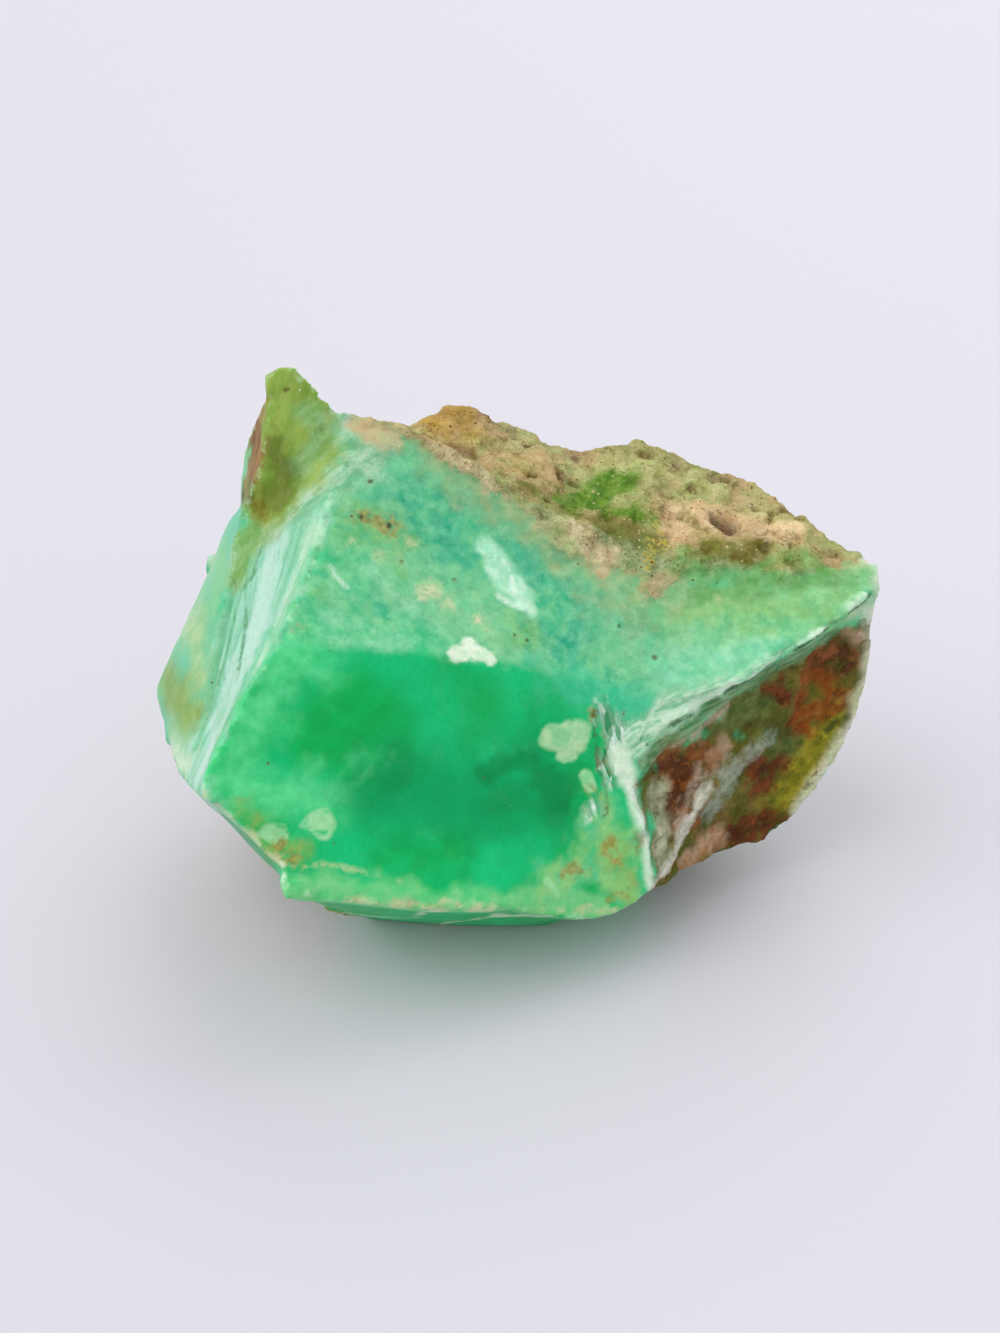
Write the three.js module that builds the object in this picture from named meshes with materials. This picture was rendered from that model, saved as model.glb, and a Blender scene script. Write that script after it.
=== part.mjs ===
// A rough lump of chrysoprase, the apple green chalcedony, as it was broken out of its vein.
// Millimetres, +Z up, X to the right across the front, Y away from the front.
// The origin is under the middle of the stone, level with the flat patch that it rests on.
//
// The stone is given by its corners and by the broken faces between them. Each face is a film
// stretched over its own outline, then dished or crowned by a stated depth, the way a shell-like
// break in chalcedony lies. The weathered skin is the same film with a coarser grain.

import * as THREE from 'three';
import { ImprovedNoise } from 'three/addons/math/ImprovedNoise.js';
import { mergeVertices } from 'three/addons/utils/BufferGeometryUtils.js';

// Driving dimensions
const facetSide = 1.15;       // side of the small triangles that carry the surface
const chipDepth = 0.22;       // how far a ridge wanders between two corners
const chipLength = 2.6;       // distance along a ridge from one chip to the next
const grainLength = 3.4;      // width of the humps on a face
const smallHumpHeight = 0.5;  // height of the half-width humps, as a share of the full ones
const rimClearance = 0.6;     // how near a rim an inner point may lie, in triangle sides
const fadeIn = 3;             // how fast the grain grows from nothing at a rim
const settleRounds = 400;     // enough for the widest face to come to rest
const weldDistance = 0.0005;  // corners closer than this are one corner
const stoneMiddle = new THREE.Vector3(0, 1, 14);

// One number for each swell, which keeps them all different
const seeds = { chipX: 3.1, chipY: 5.7, chipZ: 9.2, hump: 1.3, smallHump: 7.9 };

// The corners, named by where they are on the stone
const corners = {
  // the keel: the overhanging bottom edge of the front, from left to right
  toe: [-16.3, -14.9, 16.2],
  footTurn: [-16.2, -15.5, 15.0],
  footRim: [-14.8, -15.5, 13.9],
  rim: [-13.5, -15.7, 12.5],
  notchTop: [-12.1, -15.8, 11.0],
  keelLeft: [-11.9, -16.5, 9.6],
  keel1: [-8.8, -15.8, 8.9],
  keel2: [-5.8, -15.1, 8.1],
  keel3: [-2.6, -14.2, 7.4],
  keel4: [0.5, -13.2, 6.7],
  keel5: [3.0, -12.0, 5.2],
  keel6: [5.4, -11.0, 4.3],
  keel7: [7.0, -10.4, 4.5],
  keelRight: [8.7, -8.8, 5.0],

  // the spine: the left edge of the front, rising to the crest
  spineLow: [-15.2, -13.5, 17.9],
  spineMid: [-14.2, -12.0, 19.8],
  creaseLeft: [-13.1, -10.6, 21.3],
  spine2: [-12.2, -8.5, 23.0],
  spine3: [-11.3, -5.8, 24.8],
  spine4: [-11.0, -3.4, 26.7],
  spine5: [-10.1, -0.9, 28.3],

  // the crease between the lower and the upper front
  crease1: [-10.7, -9.6, 21.2],
  crease2: [-7.0, -8.3, 20.3],
  crease3: [-2.0, -6.7, 19.0],
  crease4: [2.6, -5.4, 17.5],
  crease5: [5.8, -4.5, 16.2],
  creaseRight: [8.7, -3.7, 15.2],

  // the brow: the front edge of the weathered top
  browLeft: [-8.9, 2.1, 29.6],
  brow1: [-7.0, 2.3, 29.3],
  brow2: [-4.5, 2.3, 28.0],
  brow3: [-2.5, 2.1, 26.7],
  brow4: [-0.1, 1.7, 24.9],
  brow5: [2.7, 1.9, 23.5],
  brow6: [5.5, 2.7, 22.9],
  brow7: [8.8, 2.8, 22.0],
  brow8: [11.6, 3.1, 21.9],
  brow9: [14.9, 4.0, 22.3],
  brow10: [17.3, 5.5, 22.1],

  // the lip that overhangs the scoop on the right
  lipTurn: [7.7, -4.5, 14.6],
  lipLow: [7.5, -5.3, 13.4],
  elbow: [6.0, -6.5, 12.5],
  lip1: [10.9, -3.6, 15.8],
  lip2: [13.5, -3.1, 16.4],
  lip3: [15.4, -2.5, 17.7],
  lip4: [17.0, -1.9, 18.2],
  lip5: [18.8, -0.9, 19.2],
  lip6: [20.7, 0.5, 20.5],
  farCorner: [22.0, 1.9, 20.4],
  under1: [8.1, -5.6, 11.5],
  under2: [9.0, -4.9, 12.4],
  under3: [10.9, -3.8, 13.2],
  under4: [12.6, -2.8, 14.4],
  under5: [14.7, -1.9, 16.1],
  under6: [17.8, -0.4, 16.9],
  under7: [19.6, 0.5, 18.1],
  under8: [21.0, 1.2, 18.4],
  rimTop: [21.5, 1.4, 18.9],

  // the pale edge on the left of the scoop, and the fold inside it
  edge1: [6.6, -6.8, 11.4],
  edge2: [7.8, -7.5, 9.2],
  edge3: [8.3, -8.1, 7.3],
  hollow1: [8.1, -5.9, 9.1],
  hollow2: [8.5, -7.2, 7.1],
  fold1: [10.2, -5.9, 5.4],
  fold2: [11.1, -5.1, 7.1],
  fold3: [11.9, -4.5, 8.6],
  fold4: [13.4, -3.4, 9.6],
  fold5: [15.7, -1.8, 11.5],

  // the outer edge of the scoop, down the right and back along the bottom
  flank1: [22.0, 1.4, 16.2],
  flank2: [22.0, 1.4, 14.0],
  flank3: [21.7, 1.1, 11.5],
  flank4: [20.4, 0.3, 8.1],
  flank5: [18.8, -0.5, 5.9],
  sill4: [17.9, -1.0, 4.8],
  sill3: [16.3, -1.6, 3.8],
  sill2: [13.5, -3.1, 4.0],
  sill1: [10.7, -5.7, 4.1],

  // the horn at the top left
  hornShoulder: [-14.8, 1.3, 32.5],
  peak: [-13.9, 1.0, 33.1],
  hornSlope: [-13.0, 1.2, 32.9],
  peakBack: [-13.8, 3.0, 32.1],
  hornRight: [-11.6, 1.5, 31.3],
  notch: [-10.8, 1.9, 30.0],
  hornFoot1: [-11.0, 0.7, 29.1],
  hornFoot2: [-12.3, -0.3, 27.7],
  hornFoot3: [-13.7, -1.1, 26.0],
  hornFoot4: [-15.1, -1.7, 23.5],
  hornTip: [-16.6, -2.0, 20.6],
  hornEdge1: [-14.6, 0.7, 31.5],
  hornEdge2: [-14.8, -0.5, 28.1],
  hornEdge3: [-16.1, -0.9, 24.9],
  hornEdge4: [-16.6, -1.5, 22.4],
  hornSide1: [-14.9, 1.7, 31.0],
  hornSide2: [-16.1, 2.1, 28.3],
  hornSide3: [-16.5, 1.9, 26.1],

  // the cheek on the left, and the crevice between it and the spine
  crevice1: [-17.2, -2.8, 18.6],
  crevice2: [-17.4, -4.3, 16.9],
  crevice3: [-17.7, -6.4, 14.7],
  crevice4: [-18.0, -9.0, 13.8],
  cheekTop: [-16.5, 1.0, 24.4],
  cheek1: [-17.4, 2.0, 23.0],
  cheek2: [-18.5, 3.0, 20.2],
  cheek3: [-19.7, 2.5, 17.6],
  cheek4: [-20.6, 2.0, 15.6],
  cheekPoint: [-22.1, -0.5, 12.3],
  cheekLow: [-21.0, -3.6, 10.8],
  cheekFoot: [-18.9, -9.1, 11.9],

  // the skyline behind the weathered top
  bumpFoot: [-7.0, 7.4, 26.8],
  bump1: [-6.2, 8.0, 27.7],
  bump2: [-4.9, 9.0, 28.1],
  bump3: [-3.2, 9.8, 28.0],
  bump4: [-1.0, 10.5, 26.5],
  saddle1: [1.0, 10.7, 25.4],
  saddle2: [3.7, 11.0, 24.5],
  hump: [7.3, 11.0, 25.7],
  humpRight: [11.1, 10.5, 24.3],
  shoulder1: [14.9, 9.0, 23.5],
  shoulder2: [18.2, 6.5, 22.1],
  shoulder3: [19.5, 5.5, 21.6],
  shoulder4: [20.8, 4.3, 21.5],
  shoulder5: [21.8, 3.0, 21.4],
  bowlLeft: [1.0, 6.0, 25.3],
  bowlRight: [8.2, 6.0, 23.6],

  // the back
  hornSpur: [-13.4, 4.6, 30.2],
  hornBack: [-12.0, 5.8, 27.6],
  leftBackTop: [-15.4, 6.5, 24.8],
  leftBackMid: [-18.2, 8.0, 18.0],
  leftBackLow: [-19.0, 6.0, 9.5],
  backTopLeft: [-9.5, 12.0, 22.0],
  backTopMid: [-0.5, 14.8, 20.5],
  backTopRight: [8.0, 15.2, 18.5],
  backTopEnd: [16.0, 11.5, 17.0],
  backMidLeft: [-11.5, 12.8, 11.5],
  backMid: [-1.0, 16.5, 10.5],
  backMidRight: [11.0, 14.0, 9.0],
  backLowLeft: [-14.5, 8.0, 4.0],
  rightLow: [19.0, 4.5, 6.0],

  // the ribs between the shell-like breaks of the back
  leftRib1: [-19.6, 5.6, 18.6],
  leftRib2: [-20.0, 4.4, 14.2],
  backRib1: [-11.9, 11.2, 19.4],
  backRib2: [-8.6, 14.0, 16.6],
  backRib3: [-9.8, 13.5, 13.4],
  ledgeLeft: [-5.4, 15.5, 15.4],
  ledgeMid: [-2.2, 15.8, 16.6],
  spurLeft: [3.6, 16.1, 15.4],
  spurRight: [9.0, 15.3, 13.6],
  sideRib1: [20.4, 5.4, 15.8],
  sideRib2: [20.9, 4.2, 11.8],
  sideRib3: [17.4, 9.2, 11.0],
  underRib1: [-1.4, 14.6, 6.0],
  underRib2: [1.6, 11.8, 3.0],
  underStep1: [-11.6, 10.8, 6.8],
  underStep2: [-7.0, 9.4, 2.4],

  // the flat patch that the stone rests on
  seatFrontLeft: [-8.4, -6.5, 0],
  seatFront: [-3.0, -6.8, 0],
  seatFrontRight: [2.6, -6.5, 0],
  seatRight: [8.0, -2.5, 0],
  seatFarRight: [10.5, 3.5, 0],
  seatBackRight: [6.5, 8.5, 0],
  seatBack: [-1.0, 10.0, 0],
  seatBackLeft: [-8.0, 6.5, 0],
  seatLeft: [-11.0, 0, 0],
};

// The faces: the corners around each, how deep it is dished (or crowned, below zero), and how
// high the humps of its grain stand
const faces = {
  lowerFront: {
    dish: 0.4,
    grain: 0.08,
    outline: `toe spineLow spineMid creaseLeft crease1 crease2 crease3 crease4 crease5 creaseRight
      lipTurn lipLow elbow edge1 edge2 edge3 keelRight keel7 keel6 keel5 keel4 keel3 keel2 keel1
      keelLeft notchTop rim footRim footTurn`,
  },
  upperFront: {
    dish: 0.5,
    grain: 0.16,
    outline: `creaseLeft spine2 spine3 spine4 spine5 browLeft brow1 brow2 brow3 brow4 brow5 brow6
      brow7 brow8 brow9 brow10 shoulder2 shoulder3 shoulder4 shoulder5 farCorner lip6 lip5 lip4
      lip3 lip2 lip1 creaseRight crease5 crease4 crease3 crease2 crease1`,
  },
  lip: {
    dish: 0.3,
    grain: 0.1,
    outline: `elbow lipLow lipTurn creaseRight lip1 lip2 lip3 lip4 lip5 lip6 farCorner rimTop
      under8 under7 under6 under5 under4 under3 under2 under1`,
  },
  paleEdge: {
    dish: -0.1,
    grain: 0.05,
    outline: 'elbow under1 hollow1 hollow2 keelRight edge3 edge2 edge1',
  },
  scoopHollow: {
    dish: 0.5,
    grain: 0.25,
    outline: `under1 under2 under3 under4 under5 fold5 fold4 fold3 fold2 fold1 keelRight hollow2
      hollow1`,
  },
  scoopFace: {
    dish: 0.4,
    grain: 0.25,
    outline: `under5 under6 under7 under8 rimTop flank1 flank2 flank3 flank4 flank5 sill4 sill3
      sill2 sill1 keelRight fold1 fold2 fold3 fold4 fold5`,
  },
  streaked: {
    dish: 0.3,
    grain: 0.12,
    outline: `toe spineLow spineMid creaseLeft spine2 spine3 spine4 spine5 browLeft notch hornFoot1
      hornFoot2 hornFoot3 hornFoot4 hornTip crevice1 crevice2 crevice3 crevice4 cheekFoot footTurn`,
  },
  hornFront: {
    dish: -0.3,
    grain: 0.2,
    outline: `peak hornSlope hornRight notch hornFoot1 hornFoot2 hornFoot3 hornFoot4 hornTip
      hornEdge4 hornEdge3 hornEdge2 hornEdge1 hornShoulder`,
  },
  hornSide: {
    dish: 0,
    grain: 0.1,
    outline: 'hornShoulder hornEdge1 hornEdge2 hornEdge3 cheekTop hornSide3 hornSide2 hornSide1',
  },
  cheek: {
    dish: -0.5,
    grain: 0.2,
    outline: `hornEdge3 hornEdge4 hornTip crevice1 crevice2 crevice3 crevice4 cheekFoot cheekLow
      cheekPoint cheek4 cheek3 cheek2 cheek1 cheekTop`,
  },
  hornBehindLeft: {
    dish: 0.3,
    grain: 0.2,
    outline: `peak hornShoulder hornSide1 hornSide2 hornSide3 cheekTop leftBackTop hornBack
      hornSpur peakBack`,
  },
  hornBehindRight: {
    dish: 0.3,
    grain: 0.2,
    outline: 'peak peakBack hornSpur hornBack notch hornRight hornSlope',
  },
  topValley: {
    dish: 0.9,
    grain: 0.4,
    outline: `notch browLeft brow1 brow2 brow3 brow4 bowlLeft saddle1 bump4 bump3 bump2 bump1
      bumpFoot hornBack`,
  },
  topBowl: {
    dish: 1.3,
    grain: 0.3,
    outline: 'brow4 brow5 brow6 bowlRight hump saddle2 saddle1 bowlLeft',
  },
  topLedge: {
    dish: 0.5,
    grain: 0.5,
    outline: `brow6 brow7 brow8 brow9 brow10 shoulder2 shoulder1 humpRight hump bowlRight`,
  },
  leftBackUpper: {
    dish: 0.6,
    grain: 0.2,
    outline: 'cheekTop cheek1 cheek2 leftRib1 leftBackMid leftBackTop',
  },
  leftBackLower: {
    dish: 0.5,
    grain: 0.25,
    outline: `cheek2 cheek3 cheek4 cheekPoint leftRib2 leftRib1`,
  },
  leftBackFlank: {
    dish: 0.8,
    grain: 0.25,
    outline: 'leftRib1 leftRib2 cheekPoint leftBackLow leftBackMid',
  },
  backSkin: {
    dish: -0.8,
    grain: 0.6,
    outline: `hornBack bumpFoot bump1 bump2 bump3 bump4 saddle1 saddle2 hump humpRight shoulder1 shoulder2
      backTopEnd backTopRight backTopMid backTopLeft`,
  },
  backUpperLeft: {
    dish: 0.8,
    grain: 0.2,
    outline: 'hornBack backTopLeft backRib1 leftBackMid leftBackTop',
  },
  backLowerLeft: {
    dish: 1.2,
    grain: 0.2,
    outline: 'backRib1 backRib2 backRib3 backMidLeft leftBackLow leftBackMid',
  },
  backHollow: {
    dish: 1.0,
    grain: 0.3,
    outline: 'backTopLeft backTopMid ledgeMid ledgeLeft backRib2 backRib1',
  },
  backShelf: {
    dish: 0.5,
    grain: 0.2,
    outline: `backRib2 ledgeLeft ledgeMid backTopMid spurLeft backMid backMidLeft backRib3`,
  },
  backRightUpper: {
    dish: 0.7,
    grain: 0.3,
    outline: 'backTopMid backTopRight backTopEnd spurRight spurLeft',
  },
  backRightLower: {
    dish: 0.9,
    grain: 0.25,
    outline: 'spurLeft spurRight backTopEnd sideRib3 backMidRight backMid',
  },
  rightSideUpper: {
    dish: 0.5,
    grain: 0.35,
    outline: `shoulder2 shoulder3 shoulder4 shoulder5 farCorner rimTop flank1 flank2 sideRib2
      sideRib1 backTopEnd`,
  },
  rightSideLower: {
    dish: 0.3,
    grain: 0.3,
    outline: 'flank2 flank3 flank4 flank5 sill4 rightLow sideRib3 sideRib2',
  },
  rightSideBack: {
    dish: 0.5,
    grain: 0.3,
    outline: 'backTopEnd sideRib1 sideRib2 sideRib3',
  },
  rightSideFoot: {
    dish: 0.2,
    grain: 0.25,
    outline: 'sideRib3 rightLow backMidRight',
  },
  underLeft: {
    dish: -0.5,
    grain: 0.6,
    outline: `cheekPoint cheekLow cheekFoot footTurn footRim rim notchTop keelLeft seatFrontLeft
      seatLeft seatBackLeft backLowLeft leftBackLow`,
  },
  underFront: {
    dish: -0.3,
    grain: 0.1,
    outline: `keelLeft keel1 keel2 keel3 keel4 keel5 keel6 keel7 keelRight seatFrontRight
      seatFront seatFrontLeft`,
  },
  underRight: {
    dish: -0.3,
    grain: 0.2,
    outline: `keelRight sill1 sill2 sill3 sill4 rightLow seatFarRight seatRight
      seatFrontRight`,
  },
  underBackLeft: {
    dish: 0.4,
    grain: 0.4,
    outline: 'leftBackLow backMidLeft underStep1 underStep2 seatBackLeft backLowLeft',
  },
  underBackMiddle: {
    dish: 0.5,
    grain: 0.3,
    outline: `backMidLeft backMid underRib1 underRib2 seatBack seatBackLeft underStep2
      underStep1`,
  },
  underBackRight: {
    dish: -0.3,
    grain: 0.4,
    outline: `backMid backMidRight rightLow seatFarRight seatBackRight seatBack underRib2
      underRib1`,
  },
  seat: {
    dish: 0,
    grain: 0,
    outline: `seatFrontLeft seatFront seatFrontRight seatRight seatFarRight seatBackRight
      seatBack seatBackLeft seatLeft`,
  },
};

const noise = new ImprovedNoise();

// A smooth swell between about -1 and 1, the same each time for the same place
function swell(point, width, seed) {
  return noise.noise(point.x / width + seed, point.y / width - seed, point.z / width + 2 * seed);
}

// The points along the ridge between two corners, worked out once, so both faces share them
const ridges = new Map();
function ridge(from, to) {
  const name = [from, to].sort().join(' ');
  if (!ridges.has(name)) {
    const [first, last] = name.split(' ').map((corner) => new THREE.Vector3(...corners[corner]));
    const steps = Math.max(1, Math.round(first.distanceTo(last) / facetSide));
    const onSeat = first.z === 0 && last.z === 0;
    const points = [];
    for (let step = 0; step <= steps; step += 1) {
      const along = step / steps;
      const point = first.clone().lerp(last, along);
      const wander = chipDepth * 4 * along * (1 - along);
      const chip = new THREE.Vector3(
        swell(point, chipLength, seeds.chipX),
        swell(point, chipLength, seeds.chipY),
        onSeat ? 0 : swell(point, chipLength, seeds.chipZ),
      );
      points.push(point.addScaledVector(chip, wander));
    }
    ridges.set(name, points);
  }
  const points = ridges.get(name);
  return name.startsWith(`${from} `) ? points : [...points].reverse();
}

// All the points around a face, in order
function rimOf(outline) {
  const names = outline.split(/\s+/);
  return names.flatMap((name, i) => ridge(name, names[(i + 1) % names.length]).slice(0, -1));
}

// The plane that a face lies nearest to, with its normal pointing out of the stone
function planeOf(rim) {
  const middle = new THREE.Vector3();
  const normal = new THREE.Vector3();
  rim.forEach((point, i) => {
    const next = rim[(i + 1) % rim.length];
    middle.addScaledVector(point, 1 / rim.length);
    normal.x += (point.y - next.y) * (point.z + next.z);
    normal.y += (point.z - next.z) * (point.x + next.x);
    normal.z += (point.x - next.x) * (point.y + next.y);
  });
  normal.normalize();
  if (normal.dot(middle.clone().sub(stoneMiddle)) < 0) {
    normal.negate();
  }
  const across = new THREE.Vector3(normal.y, -normal.x, 0);
  if (across.lengthSq() < 0.01) {
    across.set(1, 0, 0);
  }
  across.addScaledVector(normal, -across.dot(normal)).normalize();
  const up = normal.clone().cross(across);
  return { middle, normal, across, up };
}

// Twice the area of a flat triangle, above zero when it turns to the left
function turn(a, b, c) {
  return (b.x - a.x) * (c.y - a.y) - (b.y - a.y) * (c.x - a.x);
}

function distanceToRim(point, flatRim) {
  let nearest = Infinity;
  flatRim.forEach((a, i) => {
    const b = flatRim[(i + 1) % flatRim.length];
    const side = b.clone().sub(a);
    const along = THREE.MathUtils.clamp(point.clone().sub(a).dot(side) / side.lengthSq(), 0, 1);
    nearest = Math.min(nearest, point.distanceTo(a.clone().addScaledVector(side, along)));
  });
  return nearest;
}

// Puts a point inside the triangle that holds it, which makes three out of one
function dropIn(triangles, flat, index) {
  const point = flat[index];
  const found = triangles.findIndex(([a, b, c]) => (
    turn(flat[a], flat[b], point) > 0
    && turn(flat[b], flat[c], point) > 0
    && turn(flat[c], flat[a], point) > 0));
  if (found < 0) {
    return false;
  }
  const [a, b, c] = triangles[found];
  triangles.splice(found, 1, [a, b, index], [b, c, index], [c, a, index]);
  return true;
}

// True when swapping the shared side of two triangles makes both of them less thin
function betterSwapped(flat, a, b, left, right) {
  const [p, q, r, s] = [flat[a], flat[b], flat[left], flat[right]];
  if (turn(r, s, p) <= 0 || turn(s, r, q) <= 0) {
    return false;
  }
  const corner = (tip) => {
    const toP = p.clone().sub(tip);
    const toQ = q.clone().sub(tip);
    return Math.acos(THREE.MathUtils.clamp(toP.dot(toQ) / toP.length() / toQ.length(), -1, 1));
  };
  return corner(r) + corner(s) > Math.PI + 0.001;
}

// Swaps sides inside one face until its triangles are as even as they can be
function evenOut(triangles, flat) {
  let swapped = true;
  while (swapped) {
    swapped = false;
    const sides = new Map();
    const touched = new Set();
    triangles.forEach((triangle, t) => {
      triangle.forEach((a, i) => {
        sides.set(`${a} ${triangle[(i + 1) % 3]}`, { t, tip: triangle[(i + 2) % 3] });
      });
    });
    for (const [name, one] of sides) {
      const [a, b] = name.split(' ').map(Number);
      const other = sides.get(`${b} ${a}`);
      const free = other && a < b && !touched.has(one.t) && !touched.has(other.t);
      if (free && betterSwapped(flat, a, b, other.tip, one.tip)) {
        triangles[one.t] = [other.tip, b, one.tip];
        triangles[other.t] = [one.tip, a, other.tip];
        touched.add(one.t).add(other.t);
        swapped = true;
      }
    }
  }
}

// Settles the heights of the inner points to the mean of their neighbours plus a lift, which is
// the shape of a film of soap on a bent wire
function settle(heights, neighbours, firstInner, lift) {
  for (let round = 0; round < settleRounds; round += 1) {
    for (let i = firstInner; i < heights.length; i += 1) {
      let sum = 0;
      neighbours[i].forEach((n) => { sum += heights[n]; });
      heights[i] = sum / neighbours[i].size + lift;
    }
  }
}

// The triangles of one face, each with its three points in space
function skinOf({ outline, dish, grain }) {
  const rim = rimOf(outline.trim());
  const { middle, normal, across, up } = planeOf(rim);
  const local = rim.map((point) => point.clone().sub(middle));
  const flat = local.map((point) => new THREE.Vector2(point.dot(across), point.dot(up)));
  const film = local.map((point) => point.dot(normal));
  const flatRim = [...flat];

  const triangles = THREE.ShapeUtils.triangulateShape(flatRim, [])
    .map(([a, b, c]) => (turn(flat[a], flat[b], flat[c]) > 0 ? [a, b, c] : [a, c, b]));
  const box = new THREE.Box2().setFromPoints(flatRim);
  const rowStep = facetSide * Math.sqrt(3) / 2;
  let row = 0;
  for (let y = box.min.y + rowStep / 2; y < box.max.y; y += rowStep) {
    row += 1;
    const start = box.min.x + (row % 2) * facetSide / 2;
    for (let x = start; x < box.max.x; x += facetSide) {
      const point = new THREE.Vector2(x, y);
      if (distanceToRim(point, flatRim) > rimClearance * facetSide) {
        flat.push(point);
        if (!dropIn(triangles, flat, flat.length - 1)) {
          flat.pop();
        }
      }
    }
  }
  evenOut(triangles, flat);

  const neighbours = flat.map(() => new Set());
  triangles.forEach(([a, b, c]) => {
    neighbours[a].add(b).add(c);
    neighbours[b].add(c).add(a);
    neighbours[c].add(a).add(b);
  });
  const bubble = flat.map(() => 0);
  flat.slice(rim.length).forEach(() => film.push(0));
  settle(film, neighbours, rim.length, 0);
  settle(bubble, neighbours, rim.length, 1);
  const tallest = Math.max(...bubble, 1);

  const points = flat.map(({ x, y }, i) => {
    if (i < rim.length) {
      return rim[i];
    }
    const point = middle.clone().addScaledVector(across, x).addScaledVector(up, y);
    const hump = swell(point, grainLength, seeds.hump);
    const smallHump = smallHumpHeight * swell(point, grainLength / 2, seeds.smallHump);
    const depth = bubble[i] / tallest;
    const roughness = grain * (hump + smallHump) * Math.min(1, fadeIn * depth);
    const height = film[i] - dish * depth + roughness;
    return point.addScaledVector(normal, height);
  });
  return triangles.map((triangle) => triangle.map((i) => points[i]));
}

const positions = Object.values(faces)
  .flatMap(skinOf)
  .flatMap((triangle) => triangle.flatMap((point) => point.toArray()));
const shell = new THREE.BufferGeometry();
shell.setAttribute('position', new THREE.Float32BufferAttribute(positions, 3));
const geometry = mergeVertices(shell, weldDistance);

// the origin goes under the middle of the stone
geometry.computeBoundingBox();
const reach = geometry.boundingBox;
geometry.translate(-(reach.min.x + reach.max.x) / 2, -(reach.min.y + reach.max.y) / 2, 0);
geometry.computeVertexNormals();

const chrysoprase = new THREE.MeshStandardMaterial({ color: '#2fb56f', roughness: 0.35, metalness: 0 });
const stone = new THREE.Mesh(geometry, chrysoprase);
stone.name = 'rough_stone';

const part = new THREE.Group();
part.add(stone);
export default part;
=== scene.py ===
import math

import bmesh
import bpy
import numpy as np
from mathutils import Matrix, Vector, kdtree, noise


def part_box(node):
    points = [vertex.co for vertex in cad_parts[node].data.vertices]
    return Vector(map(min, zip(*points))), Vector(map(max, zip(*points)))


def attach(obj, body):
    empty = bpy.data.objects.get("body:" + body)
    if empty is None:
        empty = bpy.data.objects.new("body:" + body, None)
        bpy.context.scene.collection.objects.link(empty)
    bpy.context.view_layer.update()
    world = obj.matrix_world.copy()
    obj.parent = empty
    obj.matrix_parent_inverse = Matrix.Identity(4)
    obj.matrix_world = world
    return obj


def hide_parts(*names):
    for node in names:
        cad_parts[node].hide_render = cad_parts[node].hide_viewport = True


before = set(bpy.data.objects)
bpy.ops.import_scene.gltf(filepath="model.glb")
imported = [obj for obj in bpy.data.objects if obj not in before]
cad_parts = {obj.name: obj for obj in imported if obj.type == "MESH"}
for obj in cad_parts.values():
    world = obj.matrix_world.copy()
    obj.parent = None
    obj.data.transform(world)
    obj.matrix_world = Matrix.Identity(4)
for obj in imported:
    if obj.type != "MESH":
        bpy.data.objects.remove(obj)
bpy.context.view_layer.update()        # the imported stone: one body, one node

# A rough lump of chrysoprase, green chalcedony broken from its vein. Fresh breaks in front and
# on the left, weathered skin over the top and the back, iron stain in the scoop on the right.
# Everything is laid out in millimetres from the middle of the patch that the stone stands on.

mm = 0.001
stoneLow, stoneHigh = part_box("rough_stone")
origin = np.array([(stoneLow.x + stoneHigh.x) / 2, (stoneLow.y + stoneHigh.y) / 2, stoneLow.z])

stoneMesh = {
    "crispFrom": 18,       # degrees; a gentler fold than this is smoothed away
    "crispAt": 40,         # degrees; a sharper fold than this keeps its edge
    "smoothing": 2,        # rounds of subdivision over the flat facets
    "grid": 0.245,         # mm between points of the fine surface, under 200,000 triangles
    "seatHold": 1.2,       # mm; the grain grows in over this height above the seat
    # the paleness of these folds is partly wear and partly painted light coming through the thin
    # edge
    "chipAndGlowFold": 46,        # degrees; folds sharper than this are chipped and pale
}


def smoothStep(low, high, value):
    t = np.clip((value - low) / (high - low), 0, 1)
    return t * t * (3 - 2 * t)


def fineCopy():
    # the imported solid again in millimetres, its facets smoothed and its broken edges kept
    solid = bmesh.new()
    solid.from_mesh(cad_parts["rough_stone"].data)
    for corner in solid.verts:
        corner.co = (corner.co - Vector(origin)) / mm
    bmesh.ops.remove_doubles(solid, verts=solid.verts, dist=0.01)
    bmesh.ops.recalc_face_normals(solid, faces=solid.faces)
    crease = solid.edges.layers.float.new("crease_edge")
    ridgePoints = []
    span = stoneMesh["crispAt"] - stoneMesh["crispFrom"]
    for edge in solid.edges:
        fold = math.degrees(edge.calc_face_angle_signed(0))
        edge[crease] = min(max((abs(fold) - stoneMesh["crispFrom"]) / span, 0), 1)
        if fold > stoneMesh["chipAndGlowFold"]:
            a, b = (end.co for end in edge.verts)
            ridgePoints += [a.lerp(b, step / 4) for step in range(5)]
    mesh = bpy.data.meshes.new("rough_chrysoprase")
    solid.to_mesh(mesh)
    solid.free()

    piece = bpy.data.objects.new("rough_chrysoprase", mesh)
    bpy.context.scene.collection.objects.link(piece)
    smooth = piece.modifiers.new("facets smoothed", "SUBSURF")
    smooth.levels = smooth.render_levels = stoneMesh["smoothing"]
    smooth.boundary_smooth = "ALL"
    even = piece.modifiers.new("even grid", "REMESH")
    even.mode = "VOXEL"
    even.voxel_size = stoneMesh["grid"]
    even.use_smooth_shade = True
    relax = piece.modifiers.new("grid marks out", "SMOOTH")
    relax.factor = 0.5
    relax.iterations = 2
    ready = piece.evaluated_get(bpy.context.evaluated_depsgraph_get())
    piece.data = bpy.data.meshes.new_from_object(ready)
    piece.modifiers.clear()
    piece.data.name = "rough_chrysoprase"
    return piece, ridgePoints


def meshArray(mesh, name):
    values = np.empty(len(mesh.vertices) * 3)
    mesh.vertices.foreach_get(name, values)
    return values.reshape(-1, 3)


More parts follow.
